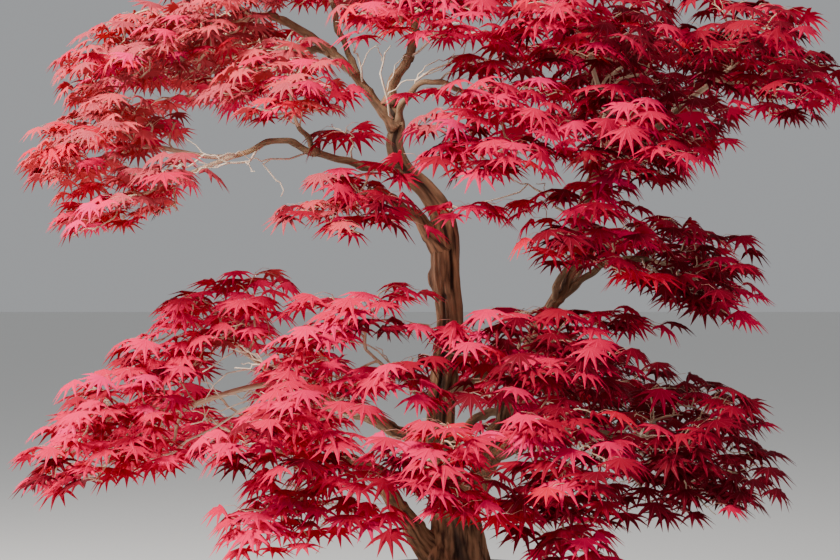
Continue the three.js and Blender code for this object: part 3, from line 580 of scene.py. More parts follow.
trunk_table = np.array(TRUNK_LINE)
trunk_points = np.column_stack([trunk_table[:, 1:3], SOIL_TOP + GAP + trunk_table[:, 0]])
trunk_spans = len(trunk_table) - 1
trunk_share = np.linspace(0, 1, trunk_spans * TRUNK_STEPS + 1)
trunk_centres = curve_through(trunk_points, trunk_share)
trunk_radius = np.interp(trunk_share * trunk_spans, np.arange(trunk_spans + 1), trunk_table[:, 3])[:, None]
trunk_turn = 2 * np.pi * np.arange(TRUNK_SIDES)[None] / TRUNK_SIDES
trunk_rise = (trunk_centres[:, 2] - SOIL_TOP)[:, None]
flute_depth = FLUTE_AT_FOOT + (FLUTE_AT_TOP - FLUTE_AT_FOOT) * trunk_share[:, None]
flute_twist = trunk_share[:, None] * trunk_spans * TRUNK_TWIST
flute_wave = np.cos(TRUNK_FLUTES * trunk_turn + TRUNK_PHASE + flute_twist)
buttress = np.exp(-trunk_rise / BUTTRESS_RISE) * sum(
    height * np.cos(count * trunk_turn + first) for height, count, first in BUTTRESSES)
trunk_relief = bark_relief(trunk_turn, trunk_rise, trunk_radius, TRUNK_SEED)
trunk_marks = 0
for mark_rise, mark_turn, mark_along, mark_round, mark_height in TRUNK_MARKS.values():
    aside = trunk_turn - mark_turn - SEAM_WANDER * (mark_height < 0) * np.sin(SEAM_PITCH * trunk_rise)
    aside = (aside + np.pi) % (2 * np.pi) - np.pi
    trunk_marks = trunk_marks + mark_height * np.exp(
        -(((trunk_rise - mark_rise) / mark_along) ** 4) - (aside / mark_round) ** 2)
trunk_shape = 1 + flute_depth * (flute_wave + FLUTE_FOLD * np.abs(flute_wave) - FLUTE_SINK) + buttress
trunk_shape = trunk_shape + trunk_relief + trunk_marks
# Painted shade for the trunk: darker in the hollows between the flutes, in the low places of the relief and
# along the seams.
trunk_furrow_shade = np.clip(
    FURROW_FROM - FURROW_FLUTE * flute_wave - FURROW_RELIEF * trunk_relief - FURROW_MARK * trunk_marks, 0, 1)
trunk_young = np.clip((TRUNK_YOUNG_FROM - trunk_radius) / TRUNK_YOUNG_BY, 0, TRUNK_YOUNG_MOST)
trunk_young = trunk_young * np.ones((1, TRUNK_SIDES))
trunk_parts = tubes(trunk_centres[None], (trunk_radius * trunk_shape)[None], TRUNK_SIDES, np.eye(3)[0])
new_bark("trunk_bark", *trunk_parts, with_ends(trunk_young), np.append(trunk_furrow_shade.ravel() ** 2, [0, 0]),
         ["trunk"])

# The limbs: each leaves the trunk or another limb with a swollen collar, bends towards its masses of
# leaves and tapers. The points are those of the CAD limbs.
LIMBS = {  # parent, where it leaves (rise on the trunk, share of length on a limb), way, radius at each end
    "low_left_limb": ("trunk", 0.06, (
        (-0.115, -0.04, 0.625), (-0.165, -0.09, 0.72), (-0.245, -0.17, 0.78)), (0.03, 0.012)),
    "right_stem": ("trunk", 0.11, (
        (0.06, 0.045, 0.725), (0.14, 0.065, 0.91), (0.215, 0.04, 1.095), (0.275, 0.02, 1.195),
        (0.29, 0, 1.32), (0.345, -0.02, 1.45)), (0.025, 0.01)),
    "low_right_limb": ("trunk", 0.14, (
        (0.07, -0.06, 0.725), (0.108, -0.1, 0.795), (0.155, -0.18, 0.835)), (0.017, 0.01)),
    "low_front_bough": ("trunk", 0.24, ((-0.02, -0.12, 0.77), (-0.035, -0.26, 0.805)), (0.011, 0.007)),
    "low_left_bough": ("trunk", 0.34, (
        (-0.15, 0.04, 0.83), (-0.255, 0.06, 0.875), (-0.38, 0.03, 0.925)), (0.017, 0.009)),
    "low_back_left_bough": ("trunk", 0.3, ((-0.13, 0.14, 0.805), (-0.265, 0.28, 0.845)), (0.014, 0.008)),
    "low_back_right_bough": ("trunk", 0.33, ((0.06, 0.14, 0.84), (0.155, 0.28, 0.865)), (0.013, 0.008)),
    "low_inner_bough": ("trunk", 0.43, ((-0.095, -0.06, 0.925), (-0.16, -0.115, 0.975)), (0.01, 0.007)),
    "low_top_bough": ("trunk", 0.45, ((0.02, -0.055, 0.925), (0.09, -0.075, 0.975)), (0.009, 0.007)),
    "fork_bough": ("trunk", 0.8, (
        (-0.105, -0.025, 1.325), (-0.155, -0.05, 1.358), (-0.2, -0.08, 1.368)), (0.019, 0.008)),
    "left_bough": ("trunk", 0.985, (
        (-0.26, -0.02, 1.44), (-0.39, -0.04, 1.485), (-0.5, -0.06, 1.45)), (0.01, 0.006)),
    "upper_left_bough": ("trunk", 1.075, (
        (-0.25, 0, 1.66), (-0.355, 0, 1.745), (-0.435, 0, 1.78)), (0.012, 0.008)),
    "right_near_bough": ("trunk", 1.085, (
        (-0.122, -0.035, 1.575), (-0.09, -0.06, 1.605), (-0.035, -0.11, 1.61), (0.015, -0.17, 1.585)),
        (0.008, 0.005)),
    "top_bough": ("trunk", 1.128, (
        (-0.135, 0, 1.64), (-0.105, 0, 1.69), (-0.085, -0.02, 1.8)), (0.012, 0.008)),
    "low_right_bough": ("low_right_limb", 0.62, ((0.24, -0.07, 0.815), (0.38, -0.025, 0.815)), (0.01, 0.007)),
    "tier_inner_bough": ("right_stem", 0.6, ((0.27, -0.055, 1.235),), (0.008, 0.006)),
    "tier_outer_bough": ("right_stem", 0.64, ((0.37, 0.005, 1.215), (0.445, -0.01, 1.215)), (0.009, 0.007)),
    "tier_back_bough": ("right_stem", 0.66, ((0.34, 0.18, 1.25),), (0.008, 0.006)),
    "right_far_bough": ("right_stem", 0.86, ((0.43, 0.025, 1.48), (0.54, 0.01, 1.585)), (0.009, 0.007)),
    "right_back_bough": ("right_stem", 0.9, ((0.365, 0.23, 1.56),), (0.009, 0.007)),
    "left_inner_bough": ("left_bough", 0.5, ((-0.355, -0.11, 1.515),), (0.007, 0.0055)),
    "left_back_bough": ("upper_left_bough", 0.55, ((-0.405, 0.19, 1.73),), (0.009, 0.007)),
    "top_left_bough": ("upper_left_bough", 0.4, ((-0.285, 0.015, 1.81),), (0.008, 0.006)),
    "top_back_bough": ("top_bough", 0.5, ((-0.09, 0.15, 1.775), (-0.085, 0.26, 1.845)), (0.008, 0.006)),
}
LIMB_TAPER = 0.8
LIMB_STEP = 0.006
CROOK, CROOK_PITCH = 0.0045, 0.16  # how far a limb strays from its curve, and how often it turns back
FINER_CROOK, FINER_PITCH = 0.5, 0.43  # a second wave on it, as shares of the first
KNOT_GAP, KNOT_PLACE, KNOT_SWELL, KNOT_LENGTH = 0.075, (0.3, 1.0), 0.20, 0.008
COLLAR_SWELL, COLLAR_REACH = 0.75, 1.5  # of the limb's own radius, and of its parent's
SWELL, SWELL_PITCHES = 0.05, (31, 13)
LIMB_SIDES, MORE_SIDES, THICK_LIMBS = 16, 8, (0.012, 0.02)  # more for each of these radii it passes
LIMB_SEED, LIMB_BARK_SEED = 60, 40
LIMB_BLUNT = 0.6  # the last ring's share of its radius
YOUNG_FROM, YOUNG_BY = 0.014, 0.007  # wood turns young below the first radius, wholly so the second lower
LIMB_GROUPS = {  # limbs that are joined in one piece of bark, by what their names begin with
    "low_limbs_bark": ("low_",), "right_stem_bark": ("right_stem", "tier_", "right_far", "right_back"),
    "leader_limbs_bark": ("fork_", "left_", "upper_", "top_", "right_near"),
}
trunk_length = lengths_along(trunk_centres)
limb_paths = {"trunk": (trunk_centres, trunk_length, trunk_radius[:, 0])}
limb_meshes = {}


def place_on(path, share):
    """A path's point and radius at a share of its length."""
    centres, along, radius = path
    length = share * along[-1]
    point = np.array([np.interp(length, along, centres[:, k]) for k in range(3)])
    return point, np.interp(length, along, radius)


for limb_number, (limb_name, (parent, leaves_at, way, thick)) in enumerate(LIMBS.items()):
    if parent == "trunk":
        leaves_at = np.interp(SOIL_TOP + leaves_at, trunk_centres[:, 2], trunk_length) / trunk_length[-1]
    limb_start, parent_radius = place_on(limb_paths[parent], leaves_at)
    centres, along = even_steps([limb_start, *way], LIMB_STEP)
    share = along / along[-1]
    dice = np.random.default_rng(LIMB_SEED + limb_number)
    phase = dice.uniform(0, 2 * np.pi, (2, 3))
    crook = np.sin(2 * np.pi * along[:, None] / CROOK_PITCH + phase[0])
    crook = crook + FINER_CROOK * np.sin(2 * np.pi * along[:, None] / (FINER_PITCH * CROOK_PITCH) + phase[1])
    centres = centres + CROOK * crook * (np.sin(np.pi * share) ** 0.7)[:, None]
    radius = thick[0] + (thick[1] - thick[0]) * share**LIMB_TAPER
    collar = COLLAR_SWELL * thick[0] * np.exp(-((along / (COLLAR_REACH * parent_radius)) ** 2))
    sides = LIMB_SIDES + MORE_SIDES * sum(thick[0] > least for least in THICK_LIMBS)
    turn = 2 * np.pi * np.arange(sides)[None] / sides
    relief = bark_relief(turn, along[:, None], radius[:, None], LIMB_BARK_SEED + limb_number)
    swell = SWELL * np.sin(along * SWELL_PITCHES[0] + limb_number)
    swell = swell * np.sin(along * SWELL_PITCHES[1] + 2 * limb_number)
    knots = dice.uniform(*KNOT_PLACE, (max(1, round(along[-1] / KNOT_GAP)), 1))
    knots = (np.arange(len(knots))[:, None] + knots) * KNOT_GAP
    swell = swell + KNOT_SWELL * np.exp(-(((along - knots) / KNOT_LENGTH) ** 2)).sum(0)
    shape = (radius * (1 + swell) + collar)[:, None] * (1 + relief)
    shape[-1] *= LIMB_BLUNT
    reference = unit(np.cross(centres[-1] - centres[0], UP))
    young = np.clip((YOUNG_FROM - radius) / YOUNG_BY, 0, 1)[:, None] * np.ones((1, sides))
    # Painted shade for a limb: darker in the low places of its bark's relief.
    furrow_shade = np.clip(-FURROW_RELIEF * relief, 0, 1) ** 2 * np.ones((1, sides))
    limb_paths[limb_name] = (centres, along, radius)
    limb_meshes[limb_name] = (*tubes(centres[None], shape[None], sides, reference), with_ends(young),
                              np.append(furrow_shade.ravel(), [0, 0]))


def joined(parts):
    """Meshes of points, faces and values per point as one: the faces count on from the points before them."""
    offsets = np.cumsum([0] + [len(part[0]) for part in parts])[:-1]
    faces = [face + offset for part, offset in zip(parts, offsets) for face in part[1]]
    return [np.concatenate([part[0] for part in parts]), faces,
            *(np.concatenate([part[k] for part in parts]) for k in range(2, len(parts[0])))]


for group_name, beginnings in LIMB_GROUPS.items():
    names = [name for name in LIMBS if name.startswith(beginnings)]
    new_bark(group_name, *joined([limb_meshes[name] for name in names]), names)

# The masses of leaves: each is a tier of sprays that grow on from a limb's tip and fill a flat, drooping
# ball, with air left between it and the next. The balls, and the planes between them, are the CAD model's.
MASSES = {  # the limb it grows on from, its heart, its reach along each axis, and its droop outwards
    "left_crown": ("upper_left_bough", (-0.66, 0, 1.715), (0.275, 0.265, 0.11), 0.4),
    "left_tier": ("left_bough", (-0.8, -0.04, 1.49), (0.215, 0.275, 0.09), 0.32),
    "left_tuft": ("left_bough", (-0.742, -0.13, 1.347), (0.19, 0.205, 0.074), 0.27),
    "left_inner": ("left_inner_bough", (-0.372, -0.2, 1.584), (0.21, 0.205, 0.076), 0.05),
    "left_back": ("left_back_bough", (-0.65, 0.43, 1.712), (0.32, 0.225, 0.108), 0.3),
    "centre_left": ("fork_bough", (-0.232, -0.17, 1.342), (0.188, 0.2, 0.088), 0.15),
    "top_front": ("top_bough", (-0.095, -0.24, 1.75), (0.21, 0.19, 0.085), 0.1),
    "top_right": ("top_bough", (0.07, 0, 1.975), (0.245, 0.275, 0.105), 0.1),
    "top_left": ("top_left_bough", (-0.31, 0.03, 1.92), (0.25, 0.265, 0.105), 0.2),
    "top_back": ("top_back_bough", (-0.08, 0.4, 1.945), (0.33, 0.205, 0.115), 0.2),
    "right_near": ("right_near_bough", (0.088, -0.26, 1.486), (0.2, 0.19, 0.135), 0.1),
    "right_high": ("right_stem", (0.283, -0.16, 1.735), (0.24, 0.255, 0.11), 0.15),
    "right_mid": ("right_stem", (0.386, -0.18, 1.475), (0.182, 0.225, 0.11), 0.12),
    "right_far": ("right_far_bough", (0.69, 0, 1.69), (0.23, 0.275, 0.14), 0.35),
    "right_back": ("right_back_bough", (0.44, 0.42, 1.665), (0.32, 0.215, 0.18), 0.2),
    "tier_inner": ("tier_inner_bough", (0.275, -0.19, 1.272), (0.2, 0.205, 0.095), 0.15),
    "tier_outer": ("tier_outer_bough", (0.562, -0.02, 1.185), (0.17, 0.235, 0.12), 0.3),
    "tier_back": ("tier_back_bough", (0.47, 0.34, 1.255), (0.235, 0.19, 0.092), 0.2),
    "low_left_top": ("low_left_bough", (-0.562, 0.02, 1.062), (0.225, 0.245, 0.118), 0.43),
    "low_left_outer": ("low_left_bough", (-0.786, 0, 0.838), (0.22, 0.275, 0.15), 0.43),
    "low_left_inner": ("low_inner_bough", (-0.217, -0.175, 1.032), (0.235, 0.205, 0.137), 0.1),
    "low_left_front": ("low_left_limb", (-0.36, -0.33, 0.865), (0.212, 0.205, 0.115), 0.12),
    "low_left_skirt": ("low_left_limb", (-0.342, -0.32, 0.683), (0.202, 0.19, 0.1), 0.22),
    "low_front": ("low_front_bough", (-0.048, -0.43, 0.787), (0.188, 0.16, 0.11), 0.2),
    "low_right_top": ("low_top_bough", (0.19, -0.09, 1.013), (0.262, 0.255, 0.114), 0.12),
    "low_right_front": ("low_right_limb", (0.22, -0.33, 0.805), (0.195, 0.205, 0.125), 0.2),
    "low_right_skirt": ("low_right_limb", (0.22, -0.29, 0.64), (0.2, 0.18, 0.078), 0.25),
    "low_right_outer": ("low_right_bough", (0.552, 0, 0.792), (0.205, 0.285, 0.175), 0.14),
    "low_back_left": ("low_back_left_bough", (-0.51, 0.42, 0.865), (0.37, 0.235, 0.155), 0.3),
    "low_back_right": ("low_back_right_bough", (0.3, 0.42, 0.865), (0.37, 0.235, 0.155), 0.25),
}
EVEN, SEED_STEP = 1.2207440846, 0.377  # the first is the number whose fourth power is itself and one more
FLATNESS = 2.2  # heights count this much more when two masses share the space between them
CLEAR, MINGLE = 0.0012, 0.030  # leaves reach this far past the plane between two masses
FULLNESS = 2.7  # a mass fills its ball's corners a little: shares are summed to this power, not squared
SHEET_GAP = 0.058  # between two of the level sheets that a mass's sprays lie in
SHEETS_FROM, SHEETS_TO = -0.62, 0.80  # the lowest and the highest, as shares of the ball's height
SHEET_SAG, SHEET_UNEVEN, SHEET_SEED = 0.22, 0.16, 0.31
UPPER_FROM, UPPER_BLUR = 1.25, 0.04  # the height above which a mass belongs to the upper crown
LEFT_FROM, LEFT_BLUR = 0.33, 0.06  # and how far left of the middle its left begins
LEAF_LENGTH = 0.066  # heart to the tip of the middle lobe, low in the crown: the leaf is 120 mm across
HIGHER_SMALLER, LEFT_SMALLER = 0.08, 0.14  # leaves are smaller in the upper crown, most on its left
SPRAY_AREA = 0.0066  # square metres of a sheet for each spray of full size
SPRAY_INSET, SPRAY_CLEAR = 0.056, 0.012
TRIES, PULL = 6, 0.12
OUTWARD, YAW = 0.6, 1.2
STEM_SHORTEST, STEM_STEP, STEM_LONGEST, STEM_DEPTH = 0.07, 0.007, 0.95, 0.62
ROOT_SUNK, STEM_BOW = 0.012, 0.8
DETOUR, CROWDING = 0.35, 0.012  # what the way back to the limb and each earlier twig at a fork add to a cost
TURNING, TURNS_BELOW = 0.06, 0.35  # what a twig's turn back adds, and the least cosine that isn't one
TWIG_ONWARD, TWIG_HOMEWARD, TWIG_STRAY = 0.55, 0.45, 0.10
TWIG_LIFT, TIP_DIP = 0.12, 0.10
TWIG_LEAVES, TWIG_ARRIVES, TWIG_CROOK = 0.9, 0.55, 0.012
TWIG_STATIONS, BARE_END = 9, 2
TWIG_LEAST, TWIG_POWER = 0.0009, 0.41  # the radius of a twig that carries one spray
UNLOADED, STEM_THICK = 0.45, 0.92  # the least load, and the most of its limb's tip that a stem has
OPENINGS = {  # gaps in the crown: middle and half size, across and up, in metres at the trunk's distance
    "left of the trunk": (-0.423, -0.225, 0.069, 0.092),
    "over the middle": (-0.104, -0.156, 0.115, 0.032),
    "before the trunk": (0.106, -0.297, 0.092, 0.032),
    "before the right stem": (0.179, -0.396, 0.041, 0.035),
    "before the left limb": (-0.069, -0.510, 0.053, 0.066),
    "under the near mass": (0.242, 0.230, 0.126, 0.023),
    "under the fork": (-0.276, 0.120, 0.064, 0.032),
    "over the low left": (-0.874, -0.276, 0.078, 0.060),
    "under the left crown": (-0.612, 0.440, 0.100, 0.020),
    "under the left tier": (-0.598, 0.281, 0.092, 0.021),
}
mass_names = list(MASSES)
hearts, reaches, droops = (np.array([MASSES[name][k] for name in mass_names]) for k in (1, 2, 3))
outwards = unit(hearts * (1, 1, 0))


def evenly(index, seed, axis):
    """Numbers of an additive sequence that fills a cube evenly: its steps are powers of one number."""
    return (0.5 + seed * SEED_STEP + (index + 1) / EVEN ** (axis + 1)) % 1


def rising(value, start, blur):
    """A share that rises from 0 to 1 about a start: 1 over 1 + e to the power (start - value) / blur."""
    return 1 / (1 + np.exp(-(value - start) / blur))


def ball(number, inset=0.0):
    """The matrix that makes a mass's space of a unit ball: stretched to its reach less an inset, and sheared
    down towards the crown's outside by its droop."""
    a, b, c = reaches[number] - (inset, inset, inset / 6)
    droop, (x, y, _) = droops[number], outwards[number]
    return np.array([(a, 0, 0), (0, b, 0), (-droop * x * a, -droop * y * b, c)])


def planes_of(number):
    """Normals and offsets of the planes between a mass and each other one, set in proportion to how far the
    two reach towards them."""
    others = np.delete(np.arange(len(hearts)), number)
    apart = hearts[others] - hearts[number]
    normals = unit(apart * (1, 1, FLATNESS**2))
    mine = np.linalg.norm(normals @ ball(number), axis=1)
    theirs = np.array([np.linalg.norm(normal @ ball(other)) for normal, other in zip(normals, others)])
    points = hearts[number] + apart * (mine / (mine + theirs))[:, None]
    return normals, (normals * points).sum(1) - CLEAR


upper = rising(hearts[:, 2], UPPER_FROM, UPPER_BLUR)
leaf_scales = 1 - HIGHER_SMALLER * upper - LEFT_SMALLER * upper * rising(-hearts[:, 0], LEFT_FROM, LEFT_BLUR)
mass_planes = [planes_of(number) for number in range(len(hearts))]
to_balls = [np.linalg.inv(ball(number)) for number in range(len(hearts))]


def in_ball(number, points):
    """Points in the measures of a mass's ball: its heart is the middle, and it reaches to one."""
    return (points - hearts[number]) @ to_balls[number].T


def holds(number, points, slack=1.0, past=0.0):
    """Whether points lie in a mass's full ball, made larger by slack, and on its side of every plane or no
    further past it than a length."""
    inside = (np.abs(in_ball(number, points)) ** FULLNESS).sum(-1) <= slack**FULLNESS
    normals, offsets = mass_planes[number]
    return inside & (points @ normals.T < offsets + past).all(-1)


def in_opening(points):
    """Whether points are seen in one of the openings. A point's place across and up from the camera's axis is
    carried to the trunk's distance: across = x / y * distance and up = z / y * distance, from the camera."""
    x, y, z = np.moveaxis(points - CAMERA_PLACE, -1, 0)
    across, up = x / y * -CAMERA_PLACE[1], z / y * -CAMERA_PLACE[1]
    seen = np.zeros(across.shape, bool)
    for middle, level, wide, high in OPENINGS.values():
        seen |= ((across - middle) / wide) ** 2 + ((up - level) / high) ** 2 < 1
    return seen


limb_samples = np.vstack([path[0][::3] for path in limb_paths.values()])
limb_sample_radii = np.concatenate([path[2][::3] for path in limb_paths.values()])


def clear_of_limbs(points, margin):
    """Whether points keep a margin to the surface of the trunk and of every limb."""
    flat = points.reshape(-1, 3)
    gaps = np.linalg.norm(flat[:, None] - limb_samples[None], axis=-1) - limb_sample_radii
    return (gaps.min(1) > margin).reshape(points.shape[:-1])


def turned_about_up(vectors, angles):
    """Vectors turned about the vertical by angles."""
    x, y, z = np.moveaxis(vectors, -1, 0)
    cos, sin = np.cos(angles), np.sin(angles)
    return np.stack([x * cos - y * sin, x * sin + y * cos, z + 0 * cos], axis=-1)


def place_sprays(number, entry):
    """Where a mass's sprays end and which way they point: spread evenly over level sheets in its ball, which
    sag towards their rims, each moved towards the heart until it fits, and pointing away from the entry and
    to the crown's outside."""
    a, b, c = reaches[number]
    sheets = max(2, 1 + round((SHEETS_TO - SHEETS_FROM) * c / SHEET_GAP))
    places = []
    for sheet, level in enumerate(np.linspace(SHEETS_FROM, SHEETS_TO, sheets)):
        rim = (1 - abs(level) ** FULLNESS) ** (1 / FULLNESS)
        area = math.pi * a * b * rim**2
        index = np.arange(max(3, round(area / SPRAY_AREA / leaf_scales[number] ** 2)))
        even = [evenly(index, number + SHEET_SEED * sheet, axis) for axis in range(4)]
        out, turn = rim * np.sqrt(even[0]), 2 * np.pi * even[1]
        high = level - SHEET_SAG * out**2 + SHEET_UNEVEN * (even[2] - 0.5)
        places.append(np.stack([out * np.cos(turn), out * np.sin(turn), high, even[3]], axis=1))
    places = np.vstack(places)
    spots = places[:, :3] @ ball(number, SPRAY_INSET * leaf_scales[number]).T
    pulls = 1 - PULL * np.arange(TRIES)
    tried = hearts[number] + spots[:, None] * pulls[None, :, None]
    fits = holds(number, tried) & clear_of_limbs(tried, SPRAY_CLEAR) & ~in_opening(tried)
    chosen = tried[np.arange(len(tried)), fits.argmax(1)][fits.any(1)]
    yaw = (places[:, 3] - 0.5)[fits.any(1)]
    ahead = unit(unit((chosen - entry) * (1, 1, 0)) + OUTWARD * outwards[number])
    order = np.argsort(np.linalg.norm(chosen - entry, axis=1))
    return chosen[order], turned_about_up(ahead, YAW * yaw)[order]


def bow(start, start_way, end, end_way, share):
    """Points at shares of a cubic that leaves start along start_way and reaches end along end_way."""
    t = share[:, None]
    chord = end - start
    return start + start_way * t + (3 * chord - 2 * start_way - end_way) * t**2 + (
        start_way + end_way - 2 * chord) * t**3


def grow_twigs(number, dice):
    """A mass's twigs as arrays: their points, each one's parent and the station where it leaves it, the ways
    its sprays point, and the radius of the limb's tip. Each spray's twig leaves the tree where its way home
    is shortest, and keeps away from crowded forks and from turning back."""
    centres, _, radii = limb_paths[MASSES[mass_names[number]][0]]
    start, stem_way = centres[-1], unit(centres[-1] - centres[-4])
    way = hearts[number] - start
    tried = np.arange(STEM_SHORTEST, np.linalg.norm(way), STEM_STEP)
    entries = start + unit(way) * np.append(tried, np.linalg.norm(way) * STEM_LONGEST)[:, None]
    inside = holds(number, entries, STEM_DEPTH)
    entry = entries[inside.argmax() if inside.any() else -1]
    spots, aheads = place_sprays(number, entry)
    share = np.linspace(0, 1, TWIG_STATIONS)
    reach = np.linalg.norm(entry - start)
    root = start - stem_way * ROOT_SUNK
    paths = [bow(root, stem_way * reach, entry, unit(way) * reach * STEM_BOW, share)]
    parents, forks = [-1], [0]
    nodes = paths[0].copy()
    ways = reach * share
    owners, stations = np.zeros(TWIG_STATIONS, int), np.arange(TWIG_STATIONS)
    crowd = np.zeros(TWIG_STATIONS)
    directions = np.gradient(nodes, axis=0)
    for spot, ahead in zip(spots, aheads):
        gap = spot - nodes
        far = np.linalg.norm(gap, axis=1)
        facing = (gap * directions).sum(1) / np.maximum(far * np.linalg.norm(directions, axis=1), 1e-9)
        cost = far + DETOUR * ways + CROWDING * crowd + TURNING * np.clip(TURNS_BELOW - facing, 0, 1.3)
        cost[(stations >= TWIG_STATIONS - BARE_END) & (owners > 0)] = np.inf
        best = cost.argmin()
        crowd[best] += 1
        along = unit(directions[best]) * TWIG_ONWARD + unit(gap[best]) * TWIG_HOMEWARD
        along = unit(along + dice.normal(0, TWIG_STRAY, 3))
        lift = UP * TWIG_LIFT * far[best]
        arrival = (ahead - UP * TIP_DIP) * far[best] * TWIG_ARRIVES - lift * 0.5
        path = bow(nodes[best], along * far[best] * TWIG_LEAVES + lift, spot, arrival, share)
        path[2:-2] += dice.normal(0, TWIG_CROOK * far[best], (TWIG_STATIONS - 4, 3))
        paths.append(path)
        parents.append(owners[best])
        forks.append(stations[best])
        nodes = np.vstack([nodes, path])
        ways = np.append(ways, ways[best] + far[best] * share)
        crowd = np.append(crowd, np.zeros(TWIG_STATIONS))
        owners = np.append(owners, np.full(TWIG_STATIONS, len(paths) - 1))
        stations = np.append(stations, np.arange(TWIG_STATIONS))
        directions = np.vstack([directions, np.gradient(path, axis=0)])
    return np.array(paths), parents, forks, aheads, radii[-1]


def twig_radii(parents, forks, limb_tip):
    """Radii that follow what a twig carries: the least radius times its sprays to a power, from each station
    on. A child adds its load to its parent as far as its fork."""
    load = np.ones((len(parents), TWIG_STATIONS))
    load[0] = 0
    for child in range(len(parents) - 1, 0, -1):
        load[parents[child], : forks[child] + 1] += load[child, 0]
    return np.minimum(TWIG_LEAST * np.maximum(load, UNLOADED) ** TWIG_POWER, limb_tip * STEM_THICK)


# The leaves hang from their stalks like small umbrellas: seven narrow pointed lobes, pleated along pale ribs,
# their tips drooping. The ribs' paleness, run out over the tips, is partly their own and partly a painted
# highlight. They come in fives at a twig's end, one ahead and two pairs.
LOBES, LOBE_TURN, LOBE_SHORTER = 7, 0.50, 0.13
SINUS, NECK = 0.39, 0.15
SHOULDER_TURN, SHOULDER_REACH, RIB_REACH = 0.115, 0.58, 0.52
RIB_HEIGHT, VALLEY_DEPTH, TIP_HEIGHT = 0.045, 0.035, 0.01
HEART_HEIGHT = 0.6  # as a share of the rib's
VEIN_TURN, VEIN_FROM, VEIN_WIDEST, VEIN_TO, VEIN_LIFT = 0.012, 0.05, 0.50, 1.02, 0.012
LEAF_STALK, STALK_RADII, STALK_ARCH, STALK_INTO = 0.046, (0.0007, 0.0005, 0.0005), 0.006, 0.6
TWIG_SIDES, STALK_SIDES, TWIG_SEED = 4, 3, 100
LEAVES_EACH = 5
PITCH, TIP_SLACK = 0.24, 1.12
PITCH_HIGHER, PITCH_OUTWARD = 0.10, 0.22  # what the upper crown and a mass's rim add to a leaf's pitch
HEART_SLACK, LEAF_CLEAR = 0.97, 0.010
SIDE_TIP = (0.2, 0.8)  # the side lobes' tips, forward and aside, as shares of a leaf's length
BACK_RANGE, LENGTH_RANGE, STALK_RANGE, DROOP_RANGE = (0.8, 1.2), (0.84, 1.14), (0.75, 1.25), (0.22, 0.44)
TURN_STRAY, PITCH_STRAY, ROLL_STRAY = 0.2, 0.12, 0.14
HEART_RISE, HEART_STRAY = 0.004, 0.008
LEAST_APART = 0.055  # between the hearts of two leaves
LEAF_TURNS = (0.0, 0.90, -0.90, 1.25, -1.25)
LEAF_BACK = (0.0, 0.012, 0.018, 0.066, 0.078)  # how far before the twig's end each stalk leaves it
# The tints dealt right or inside and low right are darker as painted shade, where the crown lies in shade.
TINTS = {  # blade and rib, and how often it is dealt: everywhere, upper left, right or inside, low right
    "crimson": (linear(204, 14, 66), "bright rib highlight", (5.0, 0.25, 2.0, 0.5)),
    "cherry": (linear(222, 10, 80), "bright rib highlight", (5.0, 0.2, 0.8, 0.1)),
    "rose": (linear(230, 24, 98), "bright rib highlight", (0.6, 0.2, 0.1, 0.0)),
    "scarlet": (linear(212, 18, 56), "bright rib highlight", (0.8, 0.4, 0.2, 0.0)),
    "dusty rose": (linear(204, 66, 76), "dusty rib highlight", (0.0, 5.0, 0.0, 0.0)),
    "old rose": (linear(178, 66, 76), "dusty rib highlight", (0.0, 4.5, 0.0, 0.0)),
    "ruby": (linear(154, 20, 46), "dull rib highlight", (1.2, 0.1, 4.0, 1.5)),
    "wine": (linear(112, 18, 34), "dull rib highlight", (0.25, 0.0, 4.2, 8.0)),
}
# The ribs' colours: partly the ribs' own paler tone, partly a painted highlight along the pleats' ridges and
# the tips, dimmer on the deep tints.
RIB_HIGHLIGHTS = {
    "bright rib highlight": linear(236, 54, 102), "dusty rib highlight": linear(216, 98, 106), "dull rib highlight": linear(166, 30, 64),
}
LEAF_ROUGHNESS, LEAF_GLOSS = 0.55, 0.06
DUSTY_LEFT, DUSTY_FADE, DUSTY_ABOVE, DUSTY_UP_FADE = 0.30, 0.10, 1.28, 0.06
# Painted shade: tints are dealt darker low down, on the right, low near the trunk and under a mass's upper
# layer, by these.
LOW_BELOW, LOW_FADE, RIGHT_FROM, RIGHT_FADE = 1.12, 0.06, 0.30, 0.08
INSIDE, INSIDE_BACK, INSIDE_REACH, UNDER = 0.8, 0.10, 0.30, 0.3  # where and by how much tints are deeper
UNDER_RIM, UNDER_TOP = 0.8, 0.25  # a mass's rim and upper layer don't count as under it
leaf_materials = {}
for tint_name, (tint_colour, _, _) in TINTS.items():
    leaf_materials[tint_name], _, leaf_shader = new_material(f"leaf {tint_name}", tint_colour, LEAF_ROUGHNESS)
    leaf_shader.inputs["Specular IOR Level"].default_value = LEAF_GLOSS
for rib_name, rib_highlight_colour in RIB_HIGHLIGHTS.items():
    leaf_materials[rib_name], _, _ = new_material(rib_name, rib_highlight_colour, LEAF_ROUGHNESS)
material_order = list(leaf_materials)
tint_order = np.array([material_order.index(tint_name) for tint_name in TINTS])
rib_order = np.array([material_order.index(rib_name) for _, rib_name, _ in TINTS.values()])


